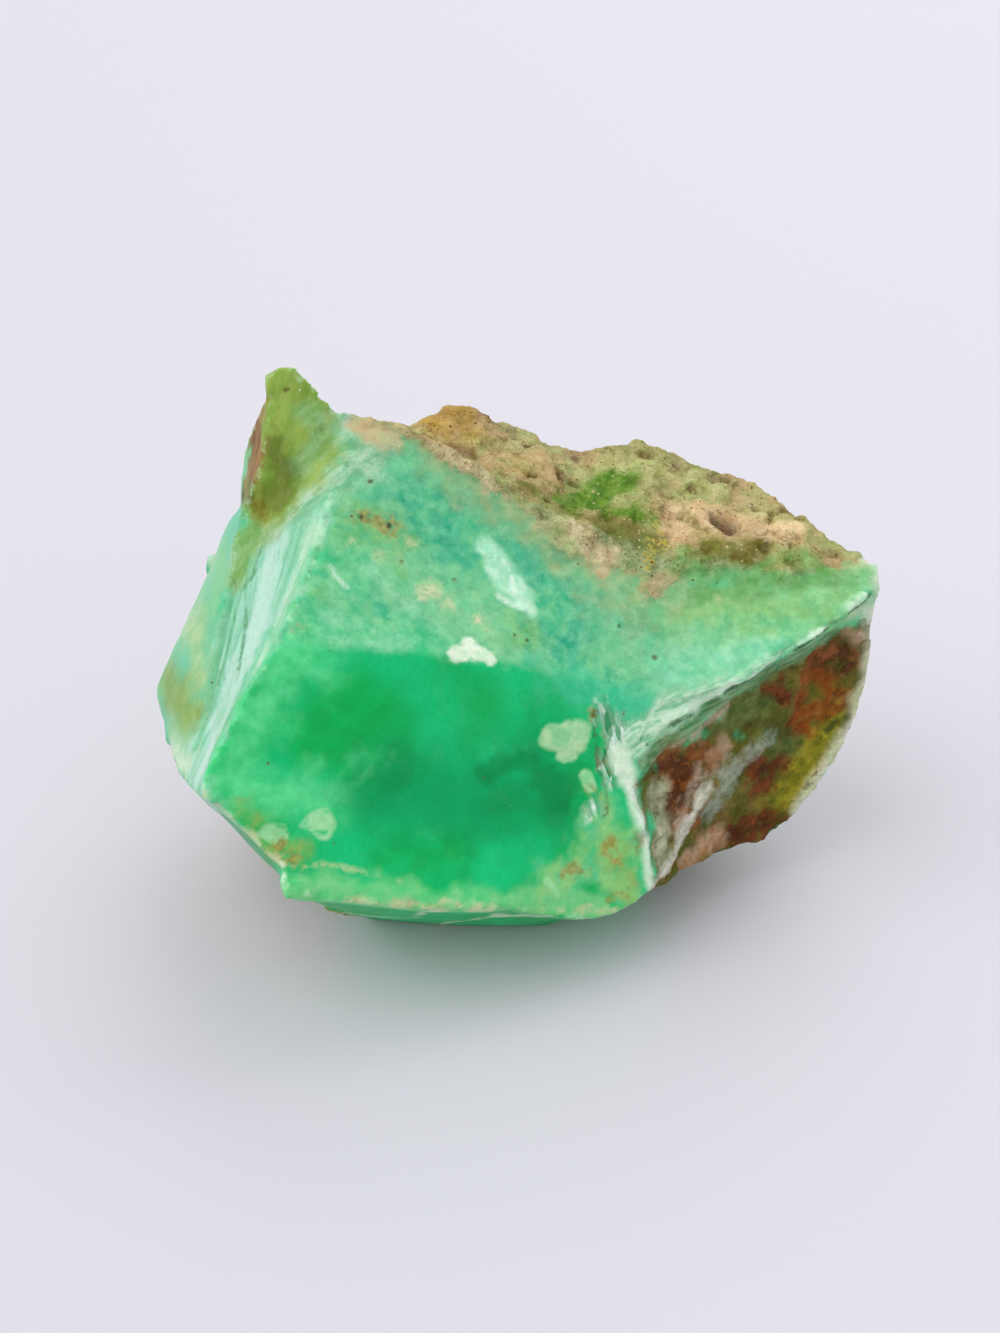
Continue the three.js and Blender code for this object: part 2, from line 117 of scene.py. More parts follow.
def ridgeDistance(points, ridgePoints):
    tree = kdtree.KDTree(len(ridgePoints))
    for number, place in enumerate(ridgePoints):
        tree.insert(place, number)
    tree.balance()
    return np.array([tree.find(place)[2] for place in points.tolist()])


def swell(points, size, seed, octaves=3):
    # rolling noise from about -1 to 1, size mm from hump to hump
    shifted = points / size + np.array([7.31, -3.17, 5.93]) * seed
    return np.array([noise.fractal(place, 1.0, 2.0, octaves) for place in shifted.tolist()])


def squeezed(points, direction, along, across):
    # coordinates in which noise runs out into streaks: along mm one way and across mm the others
    axis = np.array(direction, float)
    axis /= np.linalg.norm(axis)
    run = (points @ axis)[:, None] * axis
    return run / along + (points - run) / across


stone, ridgePoints = fineCopy()
place = meshArray(stone.data, "co")
outward = meshArray(stone.data, "normal")
x, y, z = place.T
ridge = ridgeDistance(place, ridgePoints)
print("stone: fine surface of", len(stone.data.polygons), "faces")

# Where each kind of surface ends, as lines that are read across or up the stone, in mm
borders = {
    # height of the lower border of the weathered skin in front, over x
    "skinFront": [(-12, 44), (-10.6, 30.5), (-8.3, 29.5), (-6.4, 29), (-5.4, 28.2), (-3.9, 27.2),
                  (-1.9, 26.3), (-0.5, 25.3), (0.5, 24.2), (1.7, 23.1), (3.6, 21.8), (5.2, 21),
                  (7.6, 20.5), (9.4, 20.6), (10.6, 21.5), (12, 21.8), (17, 22), (19.4, 22.3),
                  (20.6, 23.4), (22, 24.5)],
    # the same behind, where the skin hangs further down
    "skinBack": [(-22, 30), (-13, 26), (-9.5, 20.5), (-6.5, 17.5), (-4, 19.5), (0, 18.5),
                 (4, 14.5), (8, 14), (12, 17), (16, 13.5), (20, 15.5), (22, 18)],
    # the crease between the lower and the upper front, over x
    "crease": [(-16, 21.5), (-13, 21.4), (-10.7, 21.1), (-7, 20.3), (-2, 19), (2.6, 17.5),
               (5.8, 16.2), (8.7, 15.2), (10, 15)],
    # x of the spine between the front and the streaked left face, over height
    "spine": [(0, -9), (9.6, -11.9), (16.2, -16.3), (18, -15.2), (19.8, -14.2), (21.3, -13.1),
              (23, -12.2), (24.8, -11.3), (26.7, -11), (28.3, -10.1), (34, -9.5)],
    # x of the crevice between the streaked face and the cheek, over height
    "crevice": [(10, -18.8), (13.8, -18), (14.7, -17.7), (16.9, -17.4), (18.6, -17.2),
                (20.6, -16.6), (25, -15.4), (28, -13.4)],
    # x of the pale edge on the left of the scoop, over height
    "scoopEdge": [(0, 9.5), (5, 8.7), (7.3, 8.3), (9.2, 7.8), (11.4, 6.6), (12.5, 6)],
    # height of the lip's lower border over the scoop, over x
    "lipUnder": [(6, 11), (8.1, 11.5), (9, 12.4), (10.9, 13.2), (12.6, 14.4), (14.7, 16.1),
                 (17.8, 16.9), (19.6, 18.1), (21.5, 18.9)],
    # height of the scoop's bottom edge, over x
    "sill": [(8, 4.6), (10.7, 4.1), (16.3, 3.8), (17.9, 4.8), (18.8, 5.9), (22, 12)],
}


def border(name, over):
    line = borders[name]
    return np.interp(over, [a for a, b in line], [b for a, b in line])


def inStrokes(points, strokes):
    # mm inside (+) or outside (-); each stroke is a radius and then the points it runs through
    inside = np.full(len(points), -20.0)
    for radius, *path in strokes:
        path = np.array(path, float)
        for start, end in zip(path, path[1:] if len(path) > 1 else path):
            run = end - start
            share = np.clip((points - start) @ run / max(run @ run, 1e-9), 0, 1)
            gap = np.linalg.norm(points - start - share[:, None] * run, axis=1)
            inside = np.maximum(inside, radius - gap)
    return inside


leftOfSpine = border("spine", z) - x
behindBrow = np.maximum(0, y - 1.5)
behind = y - 2.5
under = -3 * (outward[:, 2] + 0.35)
skinShift = np.clip(0.9 * (y - 3) + 2 * swell(place, 3.5, 37), 0, 5) * smoothStep(-6, -10, x)
skinOver = np.minimum(
    z - border("skinFront", x + skinShift) + 1.2 * behindBrow + 2.5 * np.maximum(0, y - 5.5),
    z - border("skinBack", x) + 0.8 * np.maximum(0, 9 - y) + 1.6 * swell(place, 6, 33))
skinUnder = inStrokes(place, [
    (3.8, (-19, -2, 6.6), (-16, -7, 5.2), (-13, -9, 3)),
    (3.4, (-14.5, 2, 5.5), (-15, 7, 6)),
    (3.0, (2, 14, 4.5), (9, 12, 5.5), (13, 10, 6)),
])
skinIslands = np.minimum.reduce([behind - 3, x + 15, 4 * swell(place, 7, 31) - 1.3])
skinEdge = 0.9 * swell(place, 2.6, 11) + 0.45 * swell(place, 0.9, 12)
skin = np.maximum.reduce([skinOver, skinUnder, skinIslands]) + skinEdge
scoopPlane = 0.62 * (x - 19) - 0.3       # y of the scoop's middle plane, over x
# mm inside (+) or outside (-) of each area; swell takes the mm between humps, then its seed
fields = {
    "skin": skin,
    "skinFringe": skin + 1.5,
    "scoop": np.minimum.reduce([x - border("scoopEdge", z), border("lipUnder", x) - z,
                                1.8 - (y - scoopPlane), z - border("sill", x) + 0.4,
                                0.6 - 4 * outward[:, 1] + 0.9 * swell(place, 4, 34)]),
    "deep": np.minimum.reduce([border("crease", x) - z, -leftOfSpine,
                               border("scoopEdge", z) - x, -2 - y]),
    "upper": np.minimum.reduce([z - border("crease", x), -leftOfSpine, 2.5 - y]),
    "streaked": np.minimum.reduce([leftOfSpine, x - border("crevice", z), 2.5 - y, z - 13]),
    "cheek": np.minimum.reduce([border("crevice", z) - x, 3 - y, z - 10.5]),
    # the clouds, stains and thin white veins of the breaks behind and underneath
    "backDeep": np.minimum(behind, 3.4 * swell(place, 6, 21) + 0.3),
    "backMilk": np.minimum(behind, 3.4 * swell(place, 5, 22) - 0.6),
    "backOlive": np.minimum(behind, 3 * swell(place, 6, 23) - 0.5),
    "backRust": np.minimum(behind, 2.5 * swell(place, 3.2, 24) - 0.9),
    "veins": np.minimum.reduce([np.maximum(behind - 3, under), -2 * skin,
                                0.13 - 2.2 * abs(swell(place, 9, 25, 2) - 0.12)]),
    # painted shade: a darker green on the faces that turn down
    "underShade": np.minimum(under, -1.5 - y),
    "underRust": np.minimum.reduce([under, x - 7, 2.5 * swell(place, 3, 26) + 0.8]),
    "skinPits": np.minimum(skin - 0.2, 1.4 * swell(place, 1.1, 5, 2)
                           + 0.5 * swell(place, 7, 38) - 0.84),
    "skinCracks": np.minimum(skin - 0.2, 0.04 - abs(swell(place, 2.4, 46, 3))),
    "scoopCracks": 0.05 - abs(swell(place, 1.7, 47, 3)),
    "skinGreen": np.minimum(skin + 0.4, 2.4 * swell(place, 4.2, 27) - 0.2),
}

bandWay = (-0.21, -0.68, -0.70)        # the way the left face's streaks run down
fanWay = (0.74, 0.30, 0.60)            # and how they fan out towards the brow
lipWay = (0.86, 0.32, 0.38)            # the way the lip runs, and its splinters with it
foldWay = (0.63, 0.44, 0.64)           # the way the pale fold climbs across the scoop
leafWay = (0.56, -0.50, -0.66)         # down the length of the white leaf in the upper break
crackWay = (0.22, -0.45, -0.87)        # down the crack beside the scoop

# the thin rim on the right of the scoop, from its corner down to its foot; its paleness is painted
# light coming through it
farRim = [(21.9, 1.4, 17), (22, 1.4, 14.6), (21.7, 1.2, 12), (20.9, 0.7, 9.8), (19.7, 0.1, 7.4),
          (18.5, -0.7, 5.6)]

# The grain of each surface, raised or sunk along the surface: height and hump to hump in mm
grain = {
    "breakRipple": (0.05, 3.2, 3),
    "upperTooth": (0.05, 0.8, 3),
    "backHump": (0.30, 4.2, 3),
    "backTooth": (0.10, 1.1, 3),
    "skinHump": (0.24, 2.0, 4),
    "skinGrit": (0.16, 0.6, 2),
    "scoopHump": (0.28, 1.8, 4),
    "scoopGrit": (0.13, 0.6, 2),
}
# streaks that stand up from the surface: mm high, mm along, mm across, the way they run, seed
streaks = {
    "leftFace": (0.11, 6, 0.6, bandWay, 8),
    "lip": (0.12, 3, 0.42, lipWay, 9),
    "hackle": (0.16, 1.6, 0.5, crackWay, 13),
}
skinLift = 0.12        # mm that the skin stands over the fresh break
pitDepth = 0.3
chipDepth = 0.28       # along the sharp edges
# shell-like ripples of the fresh breaks behind: where they spread from, mm apart and high
shells = [((-12, 13, 22), 1.7, 0.07), ((6, 17, 19), 1.5, 0.06), ((-21, 7, 22), 1.4, 0.05)]
# raised and sunk marks: mm up or down, mm it takes to reach that, then strokes
dents = {
    "ledgePit": (-0.55, 0.6, [(0.8, (12.3, 6, 22.4), (12.9, 5.4, 22.2))]),
    "cornerPit": (-0.30, 0.4, [(0.5, (19.4, 4.1, 21.3))]),
    "hornHole": (-0.25, 0.4, [(0.4, (-11.5, 0.7, 29.5))]),
    "crevice": (-0.40, 0.6, [(0.55, (-16.6, -2, 20.6), (-17, -2.9, 18.7), (-17.3, -4.4, 16.9),
                              (-17.4, -6.8, 14.9), (-17.8, -9, 14))]),
    "slit": (-0.14, 0.3, [(0.2, (-15.5, -4.1, 20.2), (-15.4, -6.2, 19), (-15.5, -8.2, 18))]),
    "crack": (-0.22, 0.25, [(0.2, (4.8, -5.6, 15.1), (4.9, -6.3, 13.8), (5.2, -7, 12.2),
                             (5.7, -7.4, 11.1), (5.8, -8.2, 9.8))]),
    "footStep": (0.16, 0.35, [(1.3, (-12.2, -16.3, 9.4), (-8.6, -15.9, 8.7),
                               (-5.6, -15.2, 8), (-1.4, -13.9, 7))]),
    "flake": (0.10, 0.5, [(0.6, (-10.3, -13, 14.3), (-9.3, -12.2, 14.6), (-7.4, -11.2, 15))]),
    "leaf": (0.10, 0.3, [(0.9, (-1.7, -1.4, 22.7), (-0.5, -2.1, 21.6), (0.2, -2.5, 20.8))]),
    "oval": (0.07, 0.3, [(0.9, (2.6, -6.9, 14.3), (3.8, -6.5, 14))]),
}


def layer(name, seed):
    height, size, octaves = grain[name]
    return height * swell(place, size, seed, octaves)


def streakLayer(name):
    height, along, across, way, seed = streaks[name]
    return height * swell(squeezed(place, way, along, across), 1, seed)


onSkin = smoothStep(-0.25, 0.25, skin)
onScoop = smoothStep(-0.4, 0.6, fields["scoop"])
onStreaks = smoothStep(0, 1.5, fields["streaked"])
onUpper = smoothStep(-0.3, 0.8, fields["upper"])
onBack = smoothStep(0, 4, behind)
fresh = (1 - onSkin) * (1 - onScoop)
raised = fresh * (layer("breakRipple", 1) + onUpper * layer("upperTooth", 2))
raised += onBack * (1 - onScoop) * (layer("backHump", 14) + fresh * layer("backTooth", 15))
for centre, apart, height in shells:
    reach = np.linalg.norm(place - np.array(centre), axis=1)
    raised += onBack * fresh * height * np.sin(2 * np.pi * reach / apart) \
        * smoothStep(16, 4, reach)
raised += onSkin * (skinLift + layer("skinHump", 3) + layer("skinGrit", 4))
raised -= pitDepth * smoothStep(-0.2, 0.3, fields["skinPits"])
inScoop = onScoop * smoothStep(0.3, 2, -inStrokes(place, [(0, *farRim)]))
raised += inScoop * (layer("scoopHump", 6) + layer("scoopGrit", 7))
raised += onStreaks * streakLayer("leftFace")
onLip = smoothStep(-0.5, 0.5, inStrokes(place, [
    (1.5, (6.5, -6, 12.3), (8.4, -4.7, 14), (10.9, -3.7, 14.8)),
    (0.8, (10.9, -3.7, 14.9), (15, -2.3, 17), (20.8, 0.6, 19.8))]))
raised += onLip * streakLayer("lip")
onHackle = smoothStep(-0.3, 0.5, inStrokes(place, [
    (0.9, (5.3, -5.3, 15.1), (5.8, -5.9, 13.6), (6, -6.8, 12))]))
raised += onHackle * streakLayer("hackle")
nearRidge = 1 - smoothStep(0.05, 0.7, ridge)
raised -= fresh * nearRidge * chipDepth * smoothStep(0.1, 0.55, swell(place, 1.3, 10, 2))
for height, slope, strokes in dents.values():
    raised += height * smoothStep(0, slope, inStrokes(place, strokes))
raised *= smoothStep(0.05, stoneMesh["seatHold"], z)
moved = place + outward * raised[:, None]
moved[:, 2] = np.maximum(moved[:, 2], 0)
stone.data.vertices.foreach_set("co", (moved * mm + origin).ravel())
stone.data.update()
print("stone: grain raised by up to", round(float(abs(raised).max()), 2), "mm")


def linear(colour):
    parts = [int(colour[i:i + 2], 16) / 255 for i in (1, 3, 5)]
    return [p / 12.92 if p <= 0.04045 else ((p + 0.055) / 1.055) ** 2.4 for p in parts] + [1]


def addNode(tree, kind, inputs, output=0, **settings):
    node = tree.nodes.new(kind)
    for name, value in settings.items():
        setattr(node, name, value)
    for name, value in inputs.items():
        if isinstance(value, bpy.types.NodeSocket):
            tree.links.new(value, node.inputs[name])
        else:
            node.inputs[name].default_value = value
    return None if output is None else node.outputs[output]


# Soft tones, mixed into the colour of every point of the fine surface in the order they stand.
# Two colours, and the noise that mixes them inside; mm over which the border fades, mm that it
# wanders, how much shows; in patchy the noise that thins the tone out, from gone to whole
# between two of its values, and how much of it can go.
usual = {"inner": "mottle", "soft": 0.7, "ragged": 0.7, "cover": 0.9}
ground = ("#45BE84", "#79CB93")      # the apple green under it all
skinGround = ("#B4986A", "#968C50")
bodyTones = {
    # behind and underneath
    "backDeep": {"field": fields["backDeep"], "colours": ("#16A265", "#46BE84"), "soft": 0.9,
                 "cover": 0.85},
    "backMilk": {"field": fields["backMilk"], "colours": ("#C3E0BF", "#93CBA0"), "soft": 0.9,
                 "cover": 0.8},
    "backOlive": {"field": fields["backOlive"], "colours": ("#8A9A50", "#A9B478"), "soft": 1.0,
                  "cover": 0.75, "patchy": ("mottle", 0.4, 0.6, 0.5)},
    "backRust": {"field": fields["backRust"], "colours": ("#8A5A2A", "#B98F56"), "soft": 0.4,
                 "cover": 0.8, "patchy": ("mottle", 0.4, 0.56, 0.8)},
    # painted shade: a darker green on the faces that turn down
    "underShade": {"field": fields["underShade"], "colours": ("#0A7A40", "#2C9A5C"), "soft": 1.2},
    "underRust": {"field": fields["underRust"], "colours": ("#6E4422", "#9A8240"), "soft": 0.6,
                  "patchy": ("mottle", 0.38, 0.58, 0.5)},
    # the upper break
    "upper": {"field": fields["upper"], "colours": ("#3CB683", "#7AC88C"), "soft": 0.3,
              "ragged": 0.2},
    "paleUpper": {"colours": ("#A4D29A", "#70C88E"), "soft": 1.3, "ragged": 1.2, "cover": 0.75,
                  "patchy": ("mottle", 0.36, 0.58, 0.35),
                  "strokes": [(2.0, (-6.7, -4.4, 23), (-4.5, -4.6, 21.7), (-1.5, -4.8, 20.2)),
                              (2.6, (7.4, -2, 18), (10.5, -1.4, 18), (12, -2, 17))]},
    "mintRight": {"colours": ("#A4E6C2", "#72D2A0"), "soft": 1.1, "cover": 0.75,
                  "strokes": [(1.0, (9.2, -2.7, 16.5), (12.4, -2.2, 17), (15, -1.4, 17.8))]},
    "browMint": {"colours": ("#8AD49E", "#66CA96"), "soft": 1.2, "cover": 0.85,
                 "strokes": [(1.5, (-10.6, -2.4, 27), (-9.2, -0.6, 27.9), (-7.8, 0.8, 28.2))]},
    "teal": {"colours": ("#1FA07C", "#3DB78C"), "soft": 1.3, "ragged": 1.4,
             "patchy": ("wander", 0.36, 0.58, 0.5),
             "strokes": [(1.5, (-7, 0.2, 27.3), (-5.8, -0.6, 25.9), (-4.3, -1.2, 24.4)),
                         (1.5, (-3, 0.8, 25.5), (-0.9, 1.1, 24.6), (0, 0.5, 23.5),
                          (0.9, 0, 22.4)),
                         (1.5, (0.9, -0.2, 22.2), (2.5, -0.6, 21.2), (3.7, -1.4, 20),
                          (7.3, -0.9, 19.2)),
                         (0.9, (1.4, -4.1, 19), (2.6, -4, 18.4))]},
    "oliveUpper": {"colours": ("#66A94E", "#84BC68"), "soft": 0.9, "ragged": 1.2, "cover": 0.7,
                   "patchy": ("mottle", 0.4, 0.56, 0.6),
                   "strokes": [(1.1, (-10.2, -5.3, 24.5), (-8.7, -3.3, 25.4), (-6.8, -2.7, 24.4)),
                               (0.6, (-0.3, -4.4, 19.6), (0.8, -4.4, 19.2)),
                               (0.8, (-11.2, -8, 22.6), (-11.8, -9, 21.6))]},
    "mintUpper": {"colours": ("#3EC480", "#66CC8E"), "soft": 1.2, "cover": 0.8,
                  "strokes": [(1.4, (-11.5, -8.8, 22), (-8, -8.2, 21), (-5, -7.4, 20.3)),
                              (1.3, (-11, -5.2, 24.6), (-9.2, -5.4, 23.8))]},
    "limeUpper": {"colours": ("#A2C36A", "#82B864"), "soft": 1.4, "ragged": 1.2, "cover": 0.85,
                  "patchy": ("mottle", 0.36, 0.56, 0.3),
                  "strokes": [(1.7, (8, 0.4, 20), (14, 0.2, 19.4), (17, 0.6, 19.8),
                               (19.2, 1.2, 20.2)),
                              (1.0, (18.2, 1.9, 20.6), (21, 2.3, 20.9))]},
    "skinFringe": {"field": fields["skinFringe"], "colours": ("#A6B47A", "#80AE78"),
                   "soft": 1.2, "ragged": 1.0, "cover": 0.85},
    # the lower break
    "deep": {"field": fields["deep"], "colours": ("#00AC58", "#0AC076"), "inner": "cloud",
             "soft": 0.22, "ragged": 0.2, "cover": 0.97},
    "midRight": {"colours": ("#35BE8C", "#4CC896"), "soft": 0.9, "cover": 0.8,
                 "strokes": [(1.1, (2.6, -5.5, 16.9), (5, -4.9, 16), (7.4, -4.2, 15.2))]},
    "emerald": {"colours": ("#00A648", "#00B050"), "soft": 1.3, "cover": 0.85,
                "strokes": [(1.9, (-10.6, -11.9, 16.6), (-8.4, -10.4, 18)),
                            (1.0, (-6.4, -13.6, 10.8), (-3, -12.6, 10))]},
    "paleLeft": {"colours": ("#62DC92", "#42CE80"), "soft": 1.3, "ragged": 0.9, "cover": 0.9,
                 "strokes": [(1.3, (-12.6, -10.9, 20), (-13.9, -12.9, 17.7), (-14.9, -14.3, 16)),
                             (1.3, (-15, -14.6, 15.8), (-13.4, -14.3, 14.8),
                              (-11.4, -13.8, 13.9), (-10.2, -13.4, 13.6)),
                             (1.2, (-12.6, -10.4, 20.9), (-10.8, -9.8, 20.6))]},
    "core": {"colours": ("#008E4C", "#009E5A"), "inner": "cloud", "soft": 2.0, "ragged": 1.0,
             "cover": 0.88,
             "strokes": [(2.4, (-6.4, -11.9, 13.4), (-2.4, -10.6, 12.2), (1.4, -9, 11.4)),
                         (1.7, (1.6, -7.6, 13.6), (2.6, -9, 10.6))]},
    "darkPatch": {"colours": ("#007E40", "#008A46"), "soft": 0.4, "ragged": 0.6, "cover": 0.65,
                  "strokes": [(0.7, (-1, -9.2, 13.4), (0.4, -8.5, 13.3), (2, -8, 12.8)),
                              (0.9, (2, -8.3, 12.4), (3.1, -8.5, 11.2))]},
    "flake": {"colours": ("#3CC67A", "#62D494"), "soft": 0.6, "cover": 0.55,
              "patchy": ("mottle", 0.4, 0.58, 0.6),
              "strokes": [(0.6, (-10.6, -13.2, 14.1), (-9.3, -12.2, 14.6), (-7.6, -11.3, 14.9))]},
    "footBand": {"colours": ("#5CC878", "#80CE88"), "soft": 0.4, "ragged": 0.5,
                 "strokes": [(1.0, (-11.4, -16.2, 9.9), (-8.5, -15.6, 9.2), (-5.8, -15, 8.4)),
                             (0.9, (-5.8, -15, 8.3), (-3.1, -14.3, 7.5), (-0.3, -13.4, 6.9),
                              (2.4, -12, 6.2), (5.4, -10.6, 5))]},
    "lowRight": {"colours": ("#90CC80", "#58C486"), "soft": 0.8, "ragged": 1.0, "cover": 0.9,
                 "patchy": ("wander", 0.38, 0.54, 0.4),
                 "strokes": [(1.6, (6.2, -8.5, 9.2), (6.4, -9.4, 7.2), (7.2, -9.4, 6)),
                             (1.1, (2.6, -11.3, 7), (4.6, -9.8, 7.6), (5, -8.8, 9.2))]},
    "oliveLow": {"colours": ("#7FB850", "#9CAE56"), "soft": 0.6, "ragged": 0.8, "cover": 0.75,
                 "patchy": ("mottle", 0.4, 0.56, 0.6),
                 "strokes": [(0.8, (-14, -15.2, 13.8), (-12.6, -15.3, 12.3), (-11.2, -15.3, 11.4)),
                             (0.7, (6.1, -8.8, 8), (7, -9.2, 6.6), (7.4, -9.4, 5.6))]},
    # the cheek
    "cheek": {"field": fields["cheek"], "colours": ("#60BE98", "#84C690"), "inner": "cloud",
              "soft": 0.5, "cover": 0.97},
    "cheekPale": {"colours": ("#AECB92", "#92C088"), "soft": 1.2, "ragged": 0.9, "cover": 0.85,
                  "strokes": [(1.2, (-20, 0.6, 16.8), (-18.8, -2, 17), (-18.4, -4.4, 15.8)),
                              (0.25, (-18.2, -3.1, 17))]},
    "cheekStain": {"colours": ("#7C9A46", "#8FA858"), "soft": 1.3, "ragged": 0.6, "cover": 0.9,
                   "strokes": [(1.4, (-20.9, -1.4, 13.6), (-19.4, -4.4, 13.8), (-18.2, -6.4, 14))]},
    "toe": {"colours": ("#C6DDBE", "#A6D0A8"), "soft": 0.9,
            "strokes": [(1.1, (-20, -6.2, 11.6), (-18.4, -8.8, 12.6), (-17.4, -11, 14)),
                        (0.9, (-17.4, -12.4, 14.4), (-16.6, -14, 14.6))]},
    "groove": {"colours": ("#5FA678", "#6FAE7E"), "soft": 0.5, "ragged": 0.4, "cover": 0.7,
               "strokes": [(0.45, (-16.6, -2, 20.6), (-17, -2.9, 18.7), (-17.3, -4.4, 16.9),
                            (-17.4, -6.8, 14.9), (-17.8, -9, 14))]},
    # the scoop
    "scoop": {"field": fields["scoop"], "colours": ("#555A1C", "#7A6C34"), "inner": "wander",
              "soft": 0.35, "cover": 1.0},
    "scoopMoss": {"colours": ("#48602C", "#6E7C42"), "soft": 0.8, "ragged": 0.9,
                  "strokes": [(1.3, (12.8, -2.9, 13.6), (14.4, -2.1, 14), (15.4, -1.7, 14.8)),
                              (1.0, (15.9, -1.7, 11.4), (17.1, -0.8, 10.4))]},
    "scoopYellow": {"colours": ("#A89E2C", "#7A7C18"), "soft": 0.8, "ragged": 1.0,
                    "patchy": ("wander", 0.34, 0.5, 0.3),
                    "strokes": [(1.4, (17.4, -0.9, 6.7), (18.5, -0.2, 7.9), (19.4, 0.3, 9.6)),
                                (1.0, (19.4, 0.3, 9.8), (20.2, 0.7, 11.4))]},
    "scoopRed": {"colours": ("#4A1C0C", "#7A3E1E"), "soft": 0.5, "ragged": 1.1, "cover": 0.92,
                 "patchy": ("mottle", 0.38, 0.52, 0.6),
                 "strokes": [(1.2, (13.9, -3, 5.2), (15.4, -2, 5), (17, -1.2, 4.8)),
                             (0.9, (15.3, -1.9, 9.4), (16.3, -1.3, 9), (16, -1.6, 7.8)),
                             (0.6, (16, -1.2, 14.7), (16.6, -1, 14.2)),
                             (0.5, (17, -0.8, 12.2), (17.6, -0.4, 11.6)),
                             (0.8, (18.6, 0, 15.8), (20.6, 0.9, 16.8))]},
    "scoopBrown": {"colours": ("#4E260E", "#8C5830"), "soft": 0.5, "ragged": 1.1,
                   "patchy": ("mottle", 0.36, 0.54, 0.45),
                   "strokes": [(1.1, (9.2, -4.9, 11.6), (10.4, -4.2, 11.8), (11.4, -3.7, 11.4)),
                               (1.2, (10.8, -4.2, 10.4), (10, -4.8, 9.4), (10.6, -5, 8)),
                               (0.9, (18.9, 0.1, 15), (20.4, 0.9, 15.2)),
                               (0.8, (19.4, 0.4, 17.1), (20.2, 0.7, 15.9))]},
    "scoopRust": {"colours": ("#A4561C", "#7A4012"), "soft": 0.45, "ragged": 1.2,
                  "patchy": ("mottle", 0.38, 0.54, 0.6),
                  "strokes": [(1.0, (18.9, 0.2, 14.4), (20.2, 0.8, 13.2), (18.8, 0.1, 12.4)),
                              (0.5, (10.2, -4.5, 9.9)), (0.4, (12.3, -4.1, 4.6)),
                              (0.6, (11.2, -4.1, 10.8)), (0.35, (8.9, -5.1, 11.6))]},
    "scoopSand": {"colours": ("#CDAE90", "#A47C56"), "soft": 0.5, "ragged": 0.9,
                  "patchy": ("mottle", 0.36, 0.52, 0.4),
                  "strokes": [(0.75, (11, -5.3, 4.7), (12, -4.3, 5.2), (13.2, -3.4, 4.7)),
                              (0.5, (20.2, 0.8, 17.8), (21, 1.1, 17)),
                              (0.5, (12.4, -3.8, 11.2), (13, -3.3, 11.6))]},
    # painted shade: olive-grey inside the smooth face at the left of the scoop
    "scoopFaceShade": {"colours": ("#B9BC9C", "#8C9670"), "soft": 0.5, "ragged": 0.4,
                  "strokes": [(0.8, (9, -5.6, 9.8), (9.2, -6.4, 7.8), (9.3, -7.1, 6))]},
    # painted light: the thin right rim is painted pale where light comes through it
    "rimR": {"colours": ("#ECEBD0", "#C6D0A4"), "inner": "wander", "soft": 0.5, "ragged": 0.4,
             "strokes": [(0.52, *farRim)]},
    "cornerGlow": {"colours": ("#DDDACB", "#C2CFB2"), "soft": 0.6, "ragged": 0.4,
                   "strokes": [(0.8, (21, 1.1, 19.3), (21.6, 1.4, 18.4)),
                               (0.6, (21.6, 3.6, 21.8), (22, 2.7, 21.1), (22, 1.9, 20.2))]},
}
skinTones = {
    "skinOlive": {"field": 3 * swell(place, 7, 35), "colours": ("#8E9048", "#A39A5E"),
                  "soft": 1.5, "cover": 0.8},
    "skinPink": {"field": 3 * swell(place, 5, 36) - 0.6, "colours": ("#C8A884", "#B8946C"),
                 "soft": 1.0, "cover": 0.8, "patchy": ("wander", 0.36, 0.56, 0.5)},
    "skinGreen": {"field": fields["skinGreen"], "colours": ("#75974C", "#98AC6C"),
                  "soft": 0.8, "ragged": 1.0, "cover": 0.8,
                  "patchy": ("mottle", 0.38, 0.56, 0.5)},
    "skinLime": {"colours": ("#8FAC58", "#B0B078"), "soft": 1.2, "ragged": 1.0, "cover": 0.8,
                 "patchy": ("mottle", 0.38, 0.58, 0.4),
                 "strokes": [(2.0, (6.2, 10.1, 24.8), (8.2, 9.4, 24.8), (11, 9.2, 24)),
                             (1.2, (15, 7.6, 23), (19, 5, 21.8))]},
    "skinOchre": {"colours": ("#A9842C", "#C09A4E"), "soft": 0.8, "ragged": 0.9, "cover": 0.8,
                  "strokes": [(1.5, (-5.6, 7.8, 27.6), (-3.6, 8.8, 27.6))]},
    "skinPits": {"field": fields["skinPits"], "colours": ("#6F5226", "#7E6634"), "soft": 0.25,
                 "ragged": 0.2, "cover": 0.7},
}
